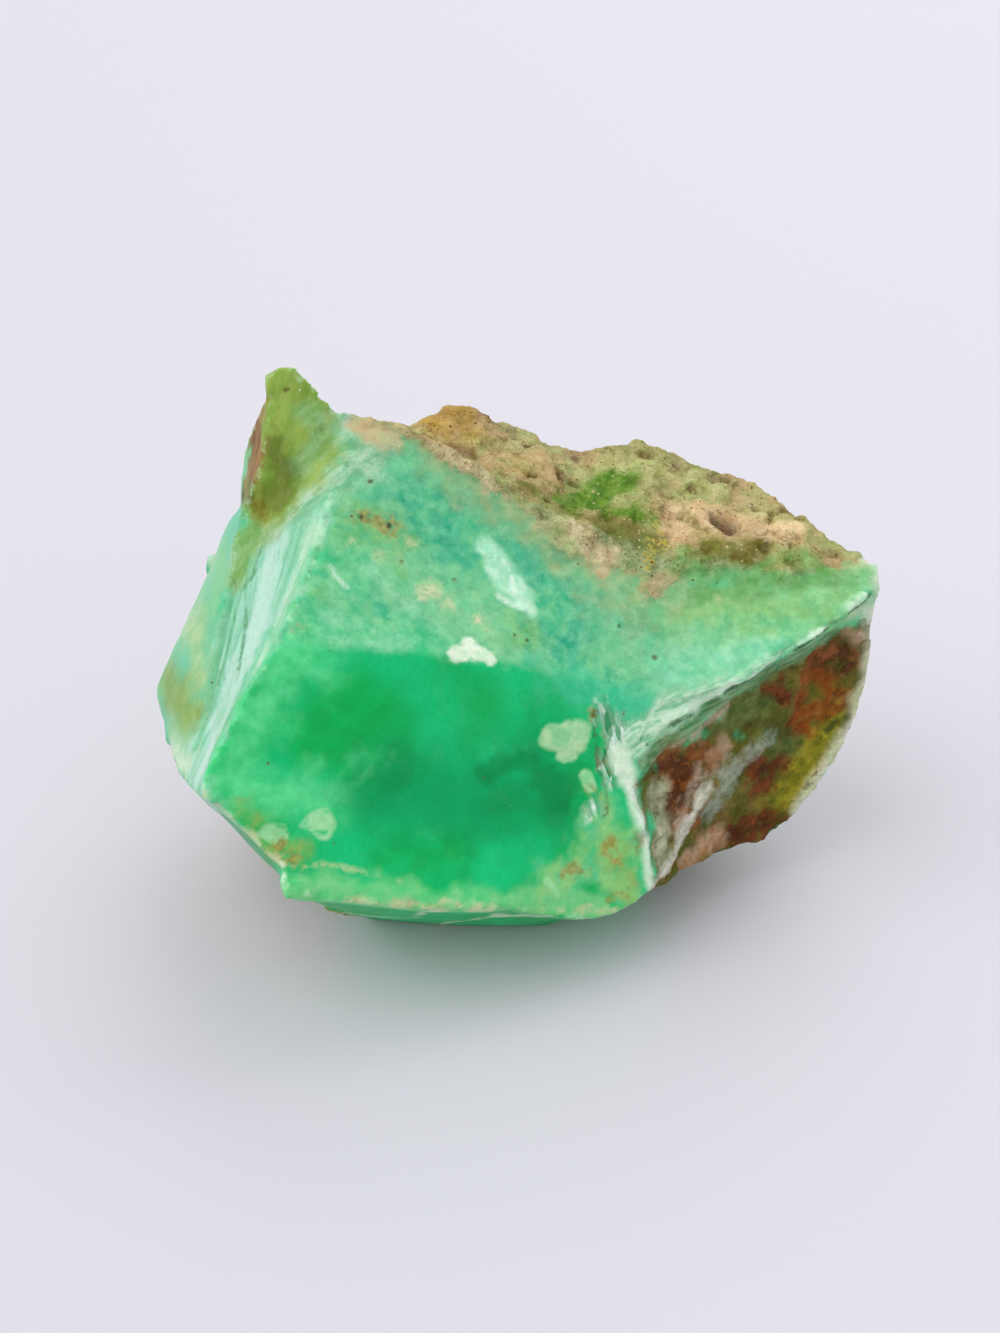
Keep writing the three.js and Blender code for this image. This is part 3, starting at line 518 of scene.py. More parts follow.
# what lies across the border of the skin
seamTones = {
    "greyGreen": {"colours": ("#78985E", "#8EA46E"), "soft": 0.6, "ragged": 0.8,
                  "patchy": ("mottle", 0.36, 0.52, 0.3),
                  "strokes": [(0.9, (4.8, 2.4, 22.9), (6.6, 2.3, 22.3), (8, 1.7, 21.5))]},
    "ledge": {"colours": ("#E6CCA4", "#C6A274"), "soft": 0.5, "ragged": 1.0,
              "patchy": ("mottle", 0.34, 0.5, 0.4),
              "strokes": [(1.0, (9.3, 6.2, 22.9), (9.6, 4.2, 22.3), (9.9, 2.9, 21.9)),
                          (1.0, (11.6, 6.2, 22.6), (14, 5.3, 22.3), (16.6, 5, 22.2)),
                          (0.7, (3.6, 2.1, 23.2), (4.3, 1.7, 22.5), (5.2, 1.5, 21.9))]},
    # the green band under the ledge, darkened with painted shade below its overhang
    "greenBandShade": {"colours": ("#438930", "#6CA856"), "soft": 0.6, "ragged": 0.8, "cover": 0.95,
                  "patchy": ("mottle", 0.36, 0.54, 0.2),
                  "strokes": [(0.9, (10.2, 2.2, 21.2), (12.2, 2.4, 21.3), (14.6, 2.6, 21.3),
                               (17.1, 3.2, 21.3)),
                              (1.0, (11, 1.6, 20.5), (15, 1.8, 20.7), (18.2, 2.1, 20.8)),
                              (0.4, (18.2, 2.1, 20.8), (20, 1.8, 20.7))]},
    "bandBrown": {"colours": ("#62520E", "#6C7020"), "soft": 0.4, "ragged": 0.8,
                  "strokes": [(0.5, (10.9, 3.4, 21.8), (13.1, 2.9, 21.6), (14.9, 3.5, 21.8))]},
    "browCrust": {"colours": ("#DDB98E", "#C49E70"), "soft": 0.3, "ragged": 0.8,
                  "patchy": ("mottle", 0.36, 0.5, 0.5),
                  "strokes": [(0.5, (-10.6, 1.5, 29.7), (-8.6, 1.5, 29.2), (-7, 1.7, 28.9)),
                              (0.4, (-6.8, 2.2, 28.6), (-4.9, 3, 27.4))]},
    "knob": {"colours": ("#4E3220", "#8A6038"), "soft": 0.3, "ragged": 0.4,
             "strokes": [(0.4, (19.4, 4.1, 21.3)), (0.55, (12.2, 6, 22.4), (12.9, 5.5, 22.3)),
                         (0.35, (-4.1, 5.8, 26.5), (-3.1, 5.9, 26.1)), (0.25, (3.4, 10.2, 24.4)),
                         (0.25, (2.1, 7.2, 24.3), (2.4, 6.9, 24)), (0.3, (-11.5, 0.7, 29.5))]},
}
# Sharp marks and streaks, laid over those in the material with finer noise; the same values
marks = {
    "upperMottle": {"field": np.minimum(fields["upper"], -0.4 - fields["scoop"]),
                    "colours": ("#1C9470", "#A6E0B0"), "soft": 0.4, "ragged": 0.4,
                    "cover": 0.26, "patchy": ("wander", 0.36, 0.6, 0.5)},
    "skinGrains": {"field": skin, "colours": ("#7C6630", "#D6C59A"), "soft": 0.6,
                   "ragged": 0.4, "cover": 0.32, "patchy": ("wander", 0.36, 0.6, 0.6)},
    "skinCracks": {"field": fields["skinCracks"], "colours": ("#5F4A22", "#7E6A38"),
                   "soft": 0.06, "ragged": 0.04, "cover": 0.6,
                   "patchy": ("wander", 0.44, 0.56, 1.0)},
    "skinPores": {"field": skin - 0.3, "colours": ("#4A3418", "#6B5228"), "inner": "mottle",
                  "soft": 0.3, "cover": 0.75, "patchy": ("grit", 0.62, 0.67, 1.0)},
    "scoopCracks": {"field": np.minimum(fields["scoop"], fields["scoopCracks"]),
                    "colours": ("#33180C", "#4E3A1A"), "soft": 0.07, "ragged": 0.05,
                    "cover": 0.7, "patchy": ("mottle", 0.4, 0.54, 1.0)},
    # the green of the hollow, darkened with painted shade in the depression
    "shadedHollow": {"colours": ("#326E04", "#66922A"), "soft": 0.6, "ragged": 0.8, "cover": 0.88,
               "patchy": ("wander", 0.34, 0.5, 0.3),
               "strokes": [(1.3, (2.6, 4.6, 23.6), (4, 6.6, 23.3), (5.9, 7.9, 23.7)),
                           (0.8, (6, 5.2, 23), (7.4, 4.6, 22.8))]},
    "hollowBrown": {"colours": ("#465408", "#687222"), "soft": 0.5, "ragged": 0.7, "cover": 0.8,
                    "patchy": ("mottle", 0.38, 0.52, 0.35),
                    "strokes": [(0.6, (0.4, 3.4, 25), (1.9, 3.3, 24), (3.3, 3.6, 23.4),
                                 (5, 3.4, 23)),
                                (1.0, (5, 3.4, 23), (6.7, 3.3, 22.8), (8.3, 2.9, 22.2))]},
    "veins": {"field": fields["veins"], "colours": ("#E4E8D2", "#C4DDB8"), "soft": 0.14,
              "ragged": 0.1, "cover": 0.8, "patchy": ("wander", 0.42, 0.52, 0.9)},
    # the streaked left face
    "streaked": {"field": fields["streaked"], "colours": ("#A8D8C0", "#6EBC90"),
                 "inner": "bandStreaks", "soft": 0.7, "ragged": 0.8, "cover": 0.92},
    "fan": {"colours": ("#B8D6B6", "#66AA78"), "inner": "fanStreaks", "soft": 0.8,
            "ragged": 0.8, "cover": 0.85,
            "strokes": [(1.4, (-14, -1.8, 25), (-12.4, -1.9, 26.4), (-10.6, -1.4, 27.6)),
                        (1.0, (-10.4, -1.2, 28), (-8.4, 0, 28.2)),
                        (0.7, (-9.8, 0.4, 28.8), (-11.4, -0.6, 27.8))]},
    "streakWhite": {"colours": ("#DCEBE2", "#A9D6C2"), "inner": "bandStreaks", "soft": 0.7,
                    "ragged": 0.8, "cover": 0.85, "patchy": ("bandStreaks", 0.36, 0.56, 0.7),
                    "strokes": [(0.8, (-13.5, -2.9, 24.5), (-14.2, -4.7, 21.9)),
                                (1.1, (-14.2, -4.9, 21.7), (-14.7, -6.8, 19.6),
                                 (-15.4, -9.6, 17.6), (-16.9, -12.4, 15)),
                                (0.4, (-16, -6, 18), (-16.8, -8.4, 15.6))]},
    "creamStrand": {"colours": ("#CCE4C0", "#A4D6AC"), "inner": "bandStreaks", "soft": 0.8,
                    "ragged": 0.6, "cover": 0.75,
                    "strokes": [(0.4, (-11.6, -4.6, 25.2), (-12.3, -6.4, 24), (-13, -8.2, 22.4),
                                 (-14, -9.8, 20.6)),
                                (0.2, (-16.9, -0.8, 22), (-16.7, -1.7, 20.9))]},
    "streakDark": {"colours": ("#3F8A5A", "#6FA878"), "inner": "grit", "soft": 0.14,
                   "ragged": 0.3, "cover": 0.8, "patchy": ("mottle", 0.4, 0.5, 0.7),
                   "strokes": [(0.16, (-14.3, -1.6, 24.6), (-15.1, -3, 22.1), (-15.9, -2.9, 20.7),
                                (-16.4, -4.1, 18.8), (-17, -6, 16.3)),
                               (0.18, (-15.5, -4.1, 20.2), (-15.4, -6.2, 19), (-15.5, -8.2, 18)),
                               (0.12, (-14.2, -1.8, 25.4), (-12.4, -1.2, 27.4), (-11, -0.2, 28.4)),
                               (0.1, (-13.2, -2.4, 25.4), (-11.4, -2, 27))]},
    # the horn
    "horn": {"colours": ("#7C9A2E", "#98AE4C"), "inner": "hornStreaks", "soft": 0.9,
             "cover": 0.95,
             "strokes": [(3.2, (-13.8, 0.8, 32), (-13.6, -0.2, 29)),
                         (1.9, (-13.6, -0.2, 29), (-14.6, -1.2, 25.7)),
                         (0.7, (-15.4, -1.5, 24), (-16.2, -1.9, 21.4))]},
    "hornGreen": {"colours": ("#6FA858", "#9CC48A"), "inner": "fanStreaks", "soft": 0.6,
                  "ragged": 0.7, "cover": 0.8,
                  "strokes": [(0.8, (-12.2, 0.7, 30.3), (-11.6, 0.6, 29.2), (-12.6, -0.4, 27.8)),
                              (0.8, (-15.4, -1.5, 23.8), (-16.3, -1.9, 21.2))]},
    "hornShade": {"colours": ("#505E16", "#78883A"), "inner": "hornStreaks", "soft": 0.6,
                  "ragged": 0.8, "patchy": ("hornStreaks", 0.36, 0.54, 0.45),
                  "strokes": [(0.85, (-14.2, -0.3, 29), (-13.6, -0.8, 27), (-14.2, -1.1, 25.6))]},
    "hornSide": {"colours": ("#A08638", "#75632A"), "inner": "hornStreaks", "soft": 0.35,
                 "ragged": 0.5,
                 "strokes": [(0.85, (-15.1, 1.4, 31), (-15.6, 1.6, 28.8)),
                             (0.25, (-14.7, -0.1, 29.2), (-14.9, -0.4, 27.6))]},
    "hornStain": {"colours": ("#6E4420", "#946A40"), "inner": "hornStreaks", "soft": 0.4,
                  "ragged": 0.6, "strokes": [(1.05, (-15.7, 0.9, 28.6), (-15.6, 0.2, 27.3))]},
    "hornOlive": {"colours": ("#5E5410", "#84802C"), "inner": "hornStreaks", "soft": 0.5,
                  "ragged": 0.6,
                  "strokes": [(0.65, (-16.1, 0.3, 25.7), (-15.2, -0.9, 25.7), (-15, -1.1, 25))]},
    # the upper break
    "wisps": {"colours": ("#BCE6C2", "#92D8AE"), "inner": "fanStreaks", "soft": 0.3,
              "ragged": 0.5, "cover": 0.45, "patchy": ("fanStreaks", 0.42, 0.54, 0.8),
              "strokes": [(0.3, (-10.2, -8.2, 22.2), (-9.1, -8, 21.7), (-7.5, -7.6, 21.1),
                           (-6.1, -7.6, 20.3)),
                          (0.25, (-10.6, -9.2, 21.3), (-8.6, -8.4, 20.9), (-6.6, -8, 20.4)),
                          (0.3, (-8.4, -4.8, 23.6), (-5.8, -5.6, 21.7), (-3.9, -5.8, 20.7))]},
    "leaf": {"colours": ("#C4EED2", "#9EDDB6"), "inner": "mottle", "soft": 0.3,
             "ragged": 0.25, "cover": 0.9,
             "strokes": [(0.6, (-2, -0.9, 23.3), (-1.2, -1.2, 22.6)),
                         (0.95, (-1.3, -1.5, 22.3), (-0.5, -2, 21.5)),
                         (0.8, (-0.5, -2, 21.5), (0.2, -2.4, 20.9)),
                         (0.35, (0.3, -2.4, 20.9), (0.8, -2.8, 20.3))]},
    "leafWhite": {"colours": ("#F0FBF0", "#CDECD4"), "inner": "leafStreaks", "soft": 0.18,
                  "ragged": 0.2, "cover": 0.8,
                  "strokes": [(0.13, (-0.9, -1.2, 22.5), (-0.5, -1.5, 22), (-0.2, -2.4, 21)),
                              (0.13, (-1.2, -2.9, 21.2), (-0.3, -3, 20.7), (0.5, -2.9, 20.3)),
                              (0.12, (-10.4, -5.8, 24.2), (-10, -6.1, 23.6), (-9.4, -6.4, 23.1))]},
    "chalk": {"colours": ("#E8F3DC", "#C8E6C2"), "soft": 0.18, "ragged": 0.35, "cover": 0.92,
              "strokes": [(0.42, (-3.3, -6.8, 19.5), (-2.5, -6.3, 19.4), (-1.5, -6.3, 19)),
                          (0.35, (-2.7, -6, 19.8))]},
    "sandSpot": {"colours": ("#E4D8B0", "#C8D09C"), "soft": 0.4, "ragged": 0.6, "cover": 0.75,
                 "patchy": ("grit", 0.4, 0.52, 0.5),
                 "strokes": [(0.6, (-5, -4.3, 22.1)), (0.3, (-1.7, -4.8, 20.1)),
                             (0.4, (-2.2, -4.5, 20.5)), (0.3, (-7.8, -4, 24)),
                             (0.25, (-9.4, -4.2, 24.9)), (0.3, (12.1, 0.9, 19.8)),
                             (0.25, (-6.2, -2.7, 24.4)), (0.35, (-3.9, -4.6, 21.4))]},
    # the lower break
    "cream": {"colours": ("#A4DCA4", "#8AD092"), "soft": 0.12, "ragged": 0.12,
              "strokes": [(0.12, (-11.3, -14.4, 12.7), (-10.7, -13.9, 13.1), (-9.9, -13.4, 13.2),
                           (-9.5, -13.7, 12.4), (-9.8, -14.2, 11.9), (-10.2, -14.4, 12),
                           (-10.8, -14.3, 12.5), (-11.3, -14.4, 12.7)),
                          (0.45, (-10.5, -14, 12.7), (-10, -13.8, 12.6)),
                          (0.1, (-13.3, -15.4, 12.8), (-13, -15.1, 13.1), (-12, -14.7, 12.9),
                           (-11.9, -15, 12.3), (-12.7, -15.4, 12.3), (-13.3, -15.4, 12.8)),
                          (0.36, (-12.8, -15.2, 12.75), (-12.3, -15, 12.6)),
                          (0.22, (2.3, -11.3, 7.3), (2.7, -11.3, 6.8), (3, -11.4, 6.4)),
                          (0.4, (4.4, -7.4, 12), (4.7, -7.6, 11.4))]},
    "oval": {"colours": ("#B4D9A6", "#8CCB96"), "soft": 0.16, "ragged": 0.25, "cover": 0.93,
             "strokes": [(0.85, (2.4, -7, 14.3), (3.4, -6.7, 14.1)),
                         (0.45, (3.2, -6.4, 14.7), (4.2, -6.1, 14.4), (4, -6.7, 13.6)),
                         (0.4, (2.9, -7.3, 13.3), (3.5, -7.1, 13.3))]},
    "seam": {"colours": ("#B4DCA0", "#C8C48C"), "inner": "grit", "soft": 0.14, "ragged": 0.25,
             "cover": 0.6, "patchy": ("mottle", 0.42, 0.54, 0.9),
             "strokes": [(0.12, (-12, -15.8, 11), (-9.6, -15, 10.6), (-8, -14.7, 10),
                          (-5.9, -14.3, 9.2))]},
    "hackle": {"colours": ("#128048", "#F2FCF2"), "inner": "shards", "soft": 0.4, "ragged": 0.6,
               "cover": 0.85,
               "strokes": [(0.7, (5.4, -5.4, 15), (6, -5.8, 13.9), (6.1, -6.5, 12.5)),
                           (0.4, (5.5, -6.4, 13), (5.7, -7.2, 11.4)),
                           (0.4, (4.5, -8.3, 10.2), (5.1, -8, 10.4))]},
    "crackLine": {"colours": ("#2F6A30", "#6B5E26"), "inner": "grit", "soft": 0.14,
                  "ragged": 0.35, "cover": 0.7, "patchy": ("mottle", 0.42, 0.5, 0.9),
                  "strokes": [(0.17, (4.7, -5.6, 15.2), (4.9, -6.3, 13.8), (5.2, -7, 12.2),
                               (5.6, -7.4, 11.1), (5.7, -8.2, 9.8)),
                              (0.12, (5.4, -6.1, 13.9), (5.7, -6.9, 12))]},
    # stains, and the dark pores
    "ochre": {"colours": ("#8E6C20", "#B4954A"), "inner": "grit", "soft": 0.3, "ragged": 0.7,
              "cover": 0.65, "patchy": ("mottle", 0.42, 0.54, 0.85),
              "strokes": [(0.5, (-12.2, -15.4, 11.9), (-11.3, -15.4, 11.2)),
                          (0.45, (6.1, -8.8, 8), (6.3, -9, 7.4)),
                          (0.25, (3.4, -10.6, 7.4), (4.9, -9.9, 7.1)),
                          (0.25, (6.3, -10.2, 5.4), (7.6, -9.3, 5.5)),
                          (0.35, (4.7, -7.7, 11.2), (5.2, -7.6, 10.8)),
                          (0.5, (-9, -2.9, 25.8), (-7.4, -2.4, 25.1)),
                          (0.3, (-6.6, -3.7, 23.5)), (0.35, (-11.9, -8.8, 21.6)),
                          (0.3, (4.6, -5.7, 15))]},
    "gold": {"colours": ("#DDE08C", "#A89230"), "inner": "grit", "soft": 0.14, "ragged": 0.4,
             "cover": 0.85, "patchy": ("grit", 0.46, 0.54, 0.9),
             "strokes": [(0.35, (8.3, 4.3, 22.5), (8.7, 3.6, 22.2), (8.5, 2.4, 21.8)),
                         (0.3, (7.9, 2.9, 22.3), (7.6, 1.6, 21.2))]},
    "dots": {"colours": ("#33280F", "#4F3A18"), "soft": 0.1, "ragged": 0.15, "cover": 0.85,
             "strokes": [(0.15, (-3.7, -3.1, 22.2)), (0.12, (-4.1, -1.6, 23.7)),
                         (0.13, (-8.6, -1.1, 27.2)), (0.14, (6.1, -1.6, 18.8)),
                         (0.14, (-10, -9.6, 20.8)), (0.15, (-10.6, -9.9, 20.6)),
                         (0.14, (-0.1, -4.5, 19.5)), (0.13, (0.6, -4.5, 19.2)),
                         (0.2, (-13.5, 0.9, 31.7)), (0.24, (-16.2, 0.4, 25.3)),
                         (0.16, (8.3, -2.4, 17.3)), (0.15, (-6.6, -3.7, 23.5)),
                         (0.12, (7.3, -9.5, 5.6)), (0.12, (-16.4, -15.1, 15.4)),
                         (0.13, (-9, -2.9, 25.8)), (0.14, (-7.5, -2.4, 25.1))]},
    # folds of the scoop, and the lip over it
    "scoopPink": {"colours": ("#CDB8A4", "#9E8268"), "inner": "foldStreaks", "soft": 0.3,
                  "ragged": 0.7, "patchy": ("foldStreaks", 0.38, 0.56, 0.7),
                  "strokes": [(0.5, (11, -3.8, 12.5), (11.8, -3.2, 13.8), (12.5, -2.9, 14.4)),
                              (0.4, (11.4, -4, 10.4), (10.9, -4.7, 8.6), (10.3, -5.5, 7)),
                              (0.35, (8.6, -5.1, 12.2), (10, -4.2, 12.8))]},
    "foldGrey": {"colours": ("#AEB9A8", "#6F7D62"), "inner": "foldStreaks", "soft": 0.5,
                 "ragged": 0.9, "patchy": ("foldStreaks", 0.36, 0.54, 0.5),
                 "strokes": [(0.9, (12.5, -4.1, 7.8), (13.2, -3.5, 9), (13.8, -3.1, 10)),
                             (0.5, (13.8, -3, 10.3), (14.8, -2.4, 10.9), (15.8, -1.8, 11.6))]},
    "foldWhite": {"colours": ("#E6E2D4", "#B7BAA4"), "inner": "foldStreaks", "soft": 0.22,
                  "ragged": 0.35, "patchy": ("foldStreaks", 0.3, 0.46, 0.5),
                  "strokes": [(0.3, (8.8, -8.6, 5), (10.2, -5.9, 5.7), (10.9, -5.1, 7.4),
                               (11.6, -4.5, 8.7), (12.2, -4.1, 9.4))]},
    "scoopCore": {"colours": ("#2C140A", "#54301C"), "soft": 0.35, "ragged": 0.9, "cover": 0.8,
                  "patchy": ("mottle", 0.4, 0.52, 0.9),
                  "strokes": [(0.7, (9.6, -4.7, 11.3), (10.5, -4.4, 10.3), (10.2, -4.9, 8.8)),
                              (0.6, (14.2, -2.8, 5.1), (16, -1.7, 4.9)),
                              (0.5, (15.6, -1.7, 9.2)), (0.5, (16.3, -1.1, 14.4)),
                              (0.5, (19.8, 0.5, 16.4), (20.5, 0.8, 15.4))]},
    "notchDark": {"colours": ("#353C14", "#4E5620"), "soft": 0.2, "ragged": 0.3,
                  "strokes": [(0.22, (19.9, 0.5, 11), (20.4, 0.8, 11.5), (20.7, 0.9, 11.1))]},
    "lipShade": {"colours": ("#3C6E3C", "#7C9C70"), "inner": "lipStreaks", "soft": 0.3,
                 "ragged": 0.4,
                 "strokes": [(0.6, (7.9, -5.5, 12.2), (9.1, -4.6, 12.9), (10.8, -3.7, 13.8),
                              (12.9, -2.8, 15.3), (14.5, -2.2, 16), (17, -1.1, 17),
                              (19, 0, 17.9))]},
    "lip": {"colours": ("#CBE8CC", "#86C496"), "inner": "lipStreaks", "soft": 0.4,
            "ragged": 0.5,
            "strokes": [(0.95, (7.4, -5.4, 13.1), (8.6, -4.4, 14.1), (10.3, -3.7, 15)),
                        (0.6, (10.3, -3.7, 15.1), (12.4, -3.3, 15.9)),
                        (0.16, (12.4, -3.2, 16), (15.3, -2.4, 17.3), (17.5, -1.7, 18.5),
                         (19.4, -0.5, 19.4), (20.7, 0.6, 20.1))]},
    # painted highlight: bright white along the crest of the lip
    "lipCrestHighlight": {"colours": ("#F4FAE8", "#CDE8CC"), "inner": "lipStreaks", "soft": 0.16,
                 "ragged": 0.3, "patchy": ("lipStreaks", 0.42, 0.5, 0.8),
                 "strokes": [(0.22, (8.2, -4.7, 13.6), (10.1, -3.7, 14.5), (11.4, -3.2, 15),
                              (12.6, -3, 15.8), (14.5, -2.5, 16.7), (15.4, -2.2, 17.2)),
                             (0.07, (17.4, -1.5, 18.5), (19.2, -0.6, 19.4), (20.8, 0.8, 20.4))]},
    "lipLine": {"colours": ("#244A2C", "#416C46"), "inner": "grit", "soft": 0.1, "ragged": 0.15,
                "patchy": ("mottle", 0.36, 0.44, 0.6),
                "strokes": [(0.14, (21.1, 1, 20.3), (20.6, 0.6, 19.7), (19.2, -0.5, 19.1),
                             (17.5, -1.6, 18.2), (15.2, -2.3, 17), (12.6, -3, 15.4)),
                            (0.13, (8, -5.2, 12.9), (9.4, -4.2, 13.7), (10.7, -3.6, 14.2)),
                            (0.1, (7.2, -5.6, 12.9), (8.4, -4.7, 14.1), (9.8, -4, 14.8))]},
    "scoopEdge": {"colours": ("#F2FAEA", "#C4E4C0"), "inner": "wander", "soft": 0.35,
                  "ragged": 0.3, "cover": 0.95,
                  "strokes": [(0.65, (6.3, -6.2, 12.7), (6.9, -6.6, 11.5)),
                              (0.45, (6.9, -6.6, 11.5), (7.4, -7, 10.3), (7.9, -7.5, 9)),
                              (0.3, (7.9, -7.5, 9), (8.3, -8.1, 7.4), (8.6, -8.8, 5.4))]},
    "footCrust": {"colours": ("#D6D0A4", "#B9C48C"), "soft": 0.25, "ragged": 0.5,
                  "patchy": ("mottle", 0.38, 0.52, 0.8),
                  "strokes": [(0.3, (-16.9, -15, 15.6), (-15, -15.6, 14), (-13.7, -15.7, 12.6),
                               (-12.3, -15.8, 11.1)),
                              (0.2, (-8.6, -15.9, 8.8), (0.4, -13.3, 6.6), (7, -10.4, 4.5))]},
    # partly the pale colour of the notch face, partly a painted highlight on it
    "footNotchHighlight": {"colours": ("#F0F6E8", "#CFE6C8"), "soft": 0.2, "ragged": 0.3,
                  "strokes": [(0.25, (-12.2, -15.9, 11), (-12.1, -16.2, 10.3),
                               (-12, -16.4, 9.6))]},
}
noises = {
    # size mm from hump to hump, octaves, roughness, the way it is drawn out and how far
    "wander": (1.5, 5, 0.58, None, 0),
    "mottle": (0.8, 4, 0.62, None, 0),
    "grit": (0.3, 3, 0.7, None, 0),
    "bandStreaks": (0.85, 5, 0.66, bandWay, 0.92),
    "fanStreaks": (0.7, 4, 0.64, fanWay, 0.9),
    "lipStreaks": (0.26, 3, 0.62, lipWay, 0.88),
    "foldStreaks": (0.6, 4, 0.62, foldWay, 0.8),
    "hornStreaks": (0.8, 4, 0.6, (-0.3, -0.35, -0.89), 0.75),
    "leafStreaks": (0.34, 3, 0.6, leafWay, 0.8),
}
# Fine specks: mm between places, radius in mm, the share of places that hold one away from and
# inside the strokes, the share on the skin, and the colour
specks = {
    "quartz": {"apart": 0.8, "radius": 0.075, "few": 0.3, "many": 0.55, "skin": 0.1,
               "colour": "#D8F2DA",
               "strokes": [(2.5, (-9, -2, 26), (-3, -3, 22.5), (4, -2, 20), (11, -1, 18.5))]},
    "iron": {"apart": 0.5, "radius": 0.11, "few": 0.03, "many": 0.5, "skin": 0.4,
             "colour": "#5E3F1C",
             "strokes": [(0.7, (-9, -2.9, 25.8), (-7.5, -2.5, 25.2)), (0.6, (-9.2, -2.6, 26.4)),
                         (0.7, (-11.8, -15.4, 11.6)), (0.8, (6.2, -9, 7.6)),
                         (0.4, (4.9, -6.6, 13.4), (5.2, -7.8, 10.8)),
                         (1.0, (9.8, 1.6, 21), (14, 2.8, 21.2)),
                         (1.2, (3.6, 2.2, 23), (5, 1.6, 22))]},
    "sand": {"apart": 0.3, "radius": 0.1, "few": 0, "many": 0.3, "skin": 0.35,
             "colour": "#CDB98E", "strokes": [(1.0, (9.8, 1.6, 21), (3.6, 2.2, 23))]},
}
shards = (0.3, 0.72)                # mm between splinters beside the crack, how far drawn out
noiseSpread = (0.34, 0.66)          # nearly all noise lies between these two values

# the coarse noises again, for the tones that are mixed point by point
haze = {"cloud": swell(place, 4.5, 41), "wander": swell(place, 1.5, 42, 4),
        "mottle": swell(place, 0.8, 43)}
haze = {name: 0.5 + 0.3 * values for name, values in haze.items()}


def laidOn(colour, tones):
    for own in tones.values():
        tone = {**usual, **own}
        inside = tone["field"] if "field" in tone else inStrokes(place, tone["strokes"])
        inside = inside + 4 * tone["ragged"] * (haze["wander"] - 0.5)
        mask = tone["cover"] * smoothStep(-tone["soft"], tone["soft"], inside)
        if "patchy" in tone:
            pattern, low, high, gone = tone["patchy"]
            mask = mask * (1 - gone + gone * smoothStep(low, high, haze[pattern]))
        paint = mixed(tone["colours"], haze[tone["inner"]])
        colour = colour + mask[:, None] * (paint - colour)
    return colour


def mixed(colours, pattern):
    first, second = np.array(linear(colours[0])), np.array(linear(colours[1]))
    return first + smoothStep(*noiseSpread, pattern)[:, None] * (second - first)


def keep(name, values):
    # one value, or one colour, for every point of the stone, for its material to read
    kind = "FLOAT" if values.ndim == 1 else "FLOAT_COLOR"
    attribute = stone.data.attributes.new(name, kind, "POINT")
    attribute.data.foreach_set("value" if values.ndim == 1 else "color",
                               values.astype(np.float32).ravel())


dry = np.maximum(smoothStep(-0.3, 0.3, skin), smoothStep(-0.3, 0.5, fields["scoop"]))
# painted shade in what is sunk and painted light on what is raised, on the dry surfaces
reliefShadeAndLight = 1 + dry * np.clip(1.1 * raised - 0.06, -0.45, 0.3)
body = laidOn(laidOn(mixed(ground, haze["wander"]), bodyTones), seamTones)
crust = laidOn(laidOn(mixed(skinGround, haze["wander"]), skinTones), seamTones)
keep("bodyColour", body * reliefShadeAndLight[:, None])
keep("skinColour", crust * reliefShadeAndLight[:, None])
keep("skin", skin)
keep("dry", dry)
# 0.3 mm grit on the skin, a faint hackle on most breaks, next to none on the lower front
faint = 0.22 - 0.19 * smoothStep(-0.3, 0.3, fields["deep"])
keep("heft", faint + dry * (1 - faint))
keep("ridge", ridge)
for name, mark in marks.items():
    keep(name, mark["field"] if "field" in mark else inStrokes(place, mark["strokes"]))
for name, speck in specks.items():
    share = speck["few"] + (speck["many"] - speck["few"]) \
        * smoothStep(-0.5, 0.3, inStrokes(place, speck["strokes"]))
    keep(name + "Crowd", np.maximum(share, speck["skin"] * smoothStep(-1, 0.5, skin)))

chalcedony = {
    "cloud": "#A9DDB8",                # milky clouds inside
    "veil": 0.03,                      # how much of them shows
    "rim": "#CDEBCB",                  # thin edges, where light comes through
    "rimShows": 0.35,
    "crumbs": 2.4,                     # mm that the borders of skin and rim break up over
    "grainShows": (0.14, 0.42),        # light and dark grains on the green and on the skin
    "roughness": (0.24, 0.42),         # broken chalcedony has a waxy lustre
    "skinRoughness": 0.85,
    "ior": 1.54,
    "lustre": 0.1,
    "glowDepth": (0.08, 0.7, 0.35),    # mm that red, green and blue light travel inside
    "glow": 0.35,
    "bump": 0.8,
    "gritHeight": 0.3,                 # mm
}


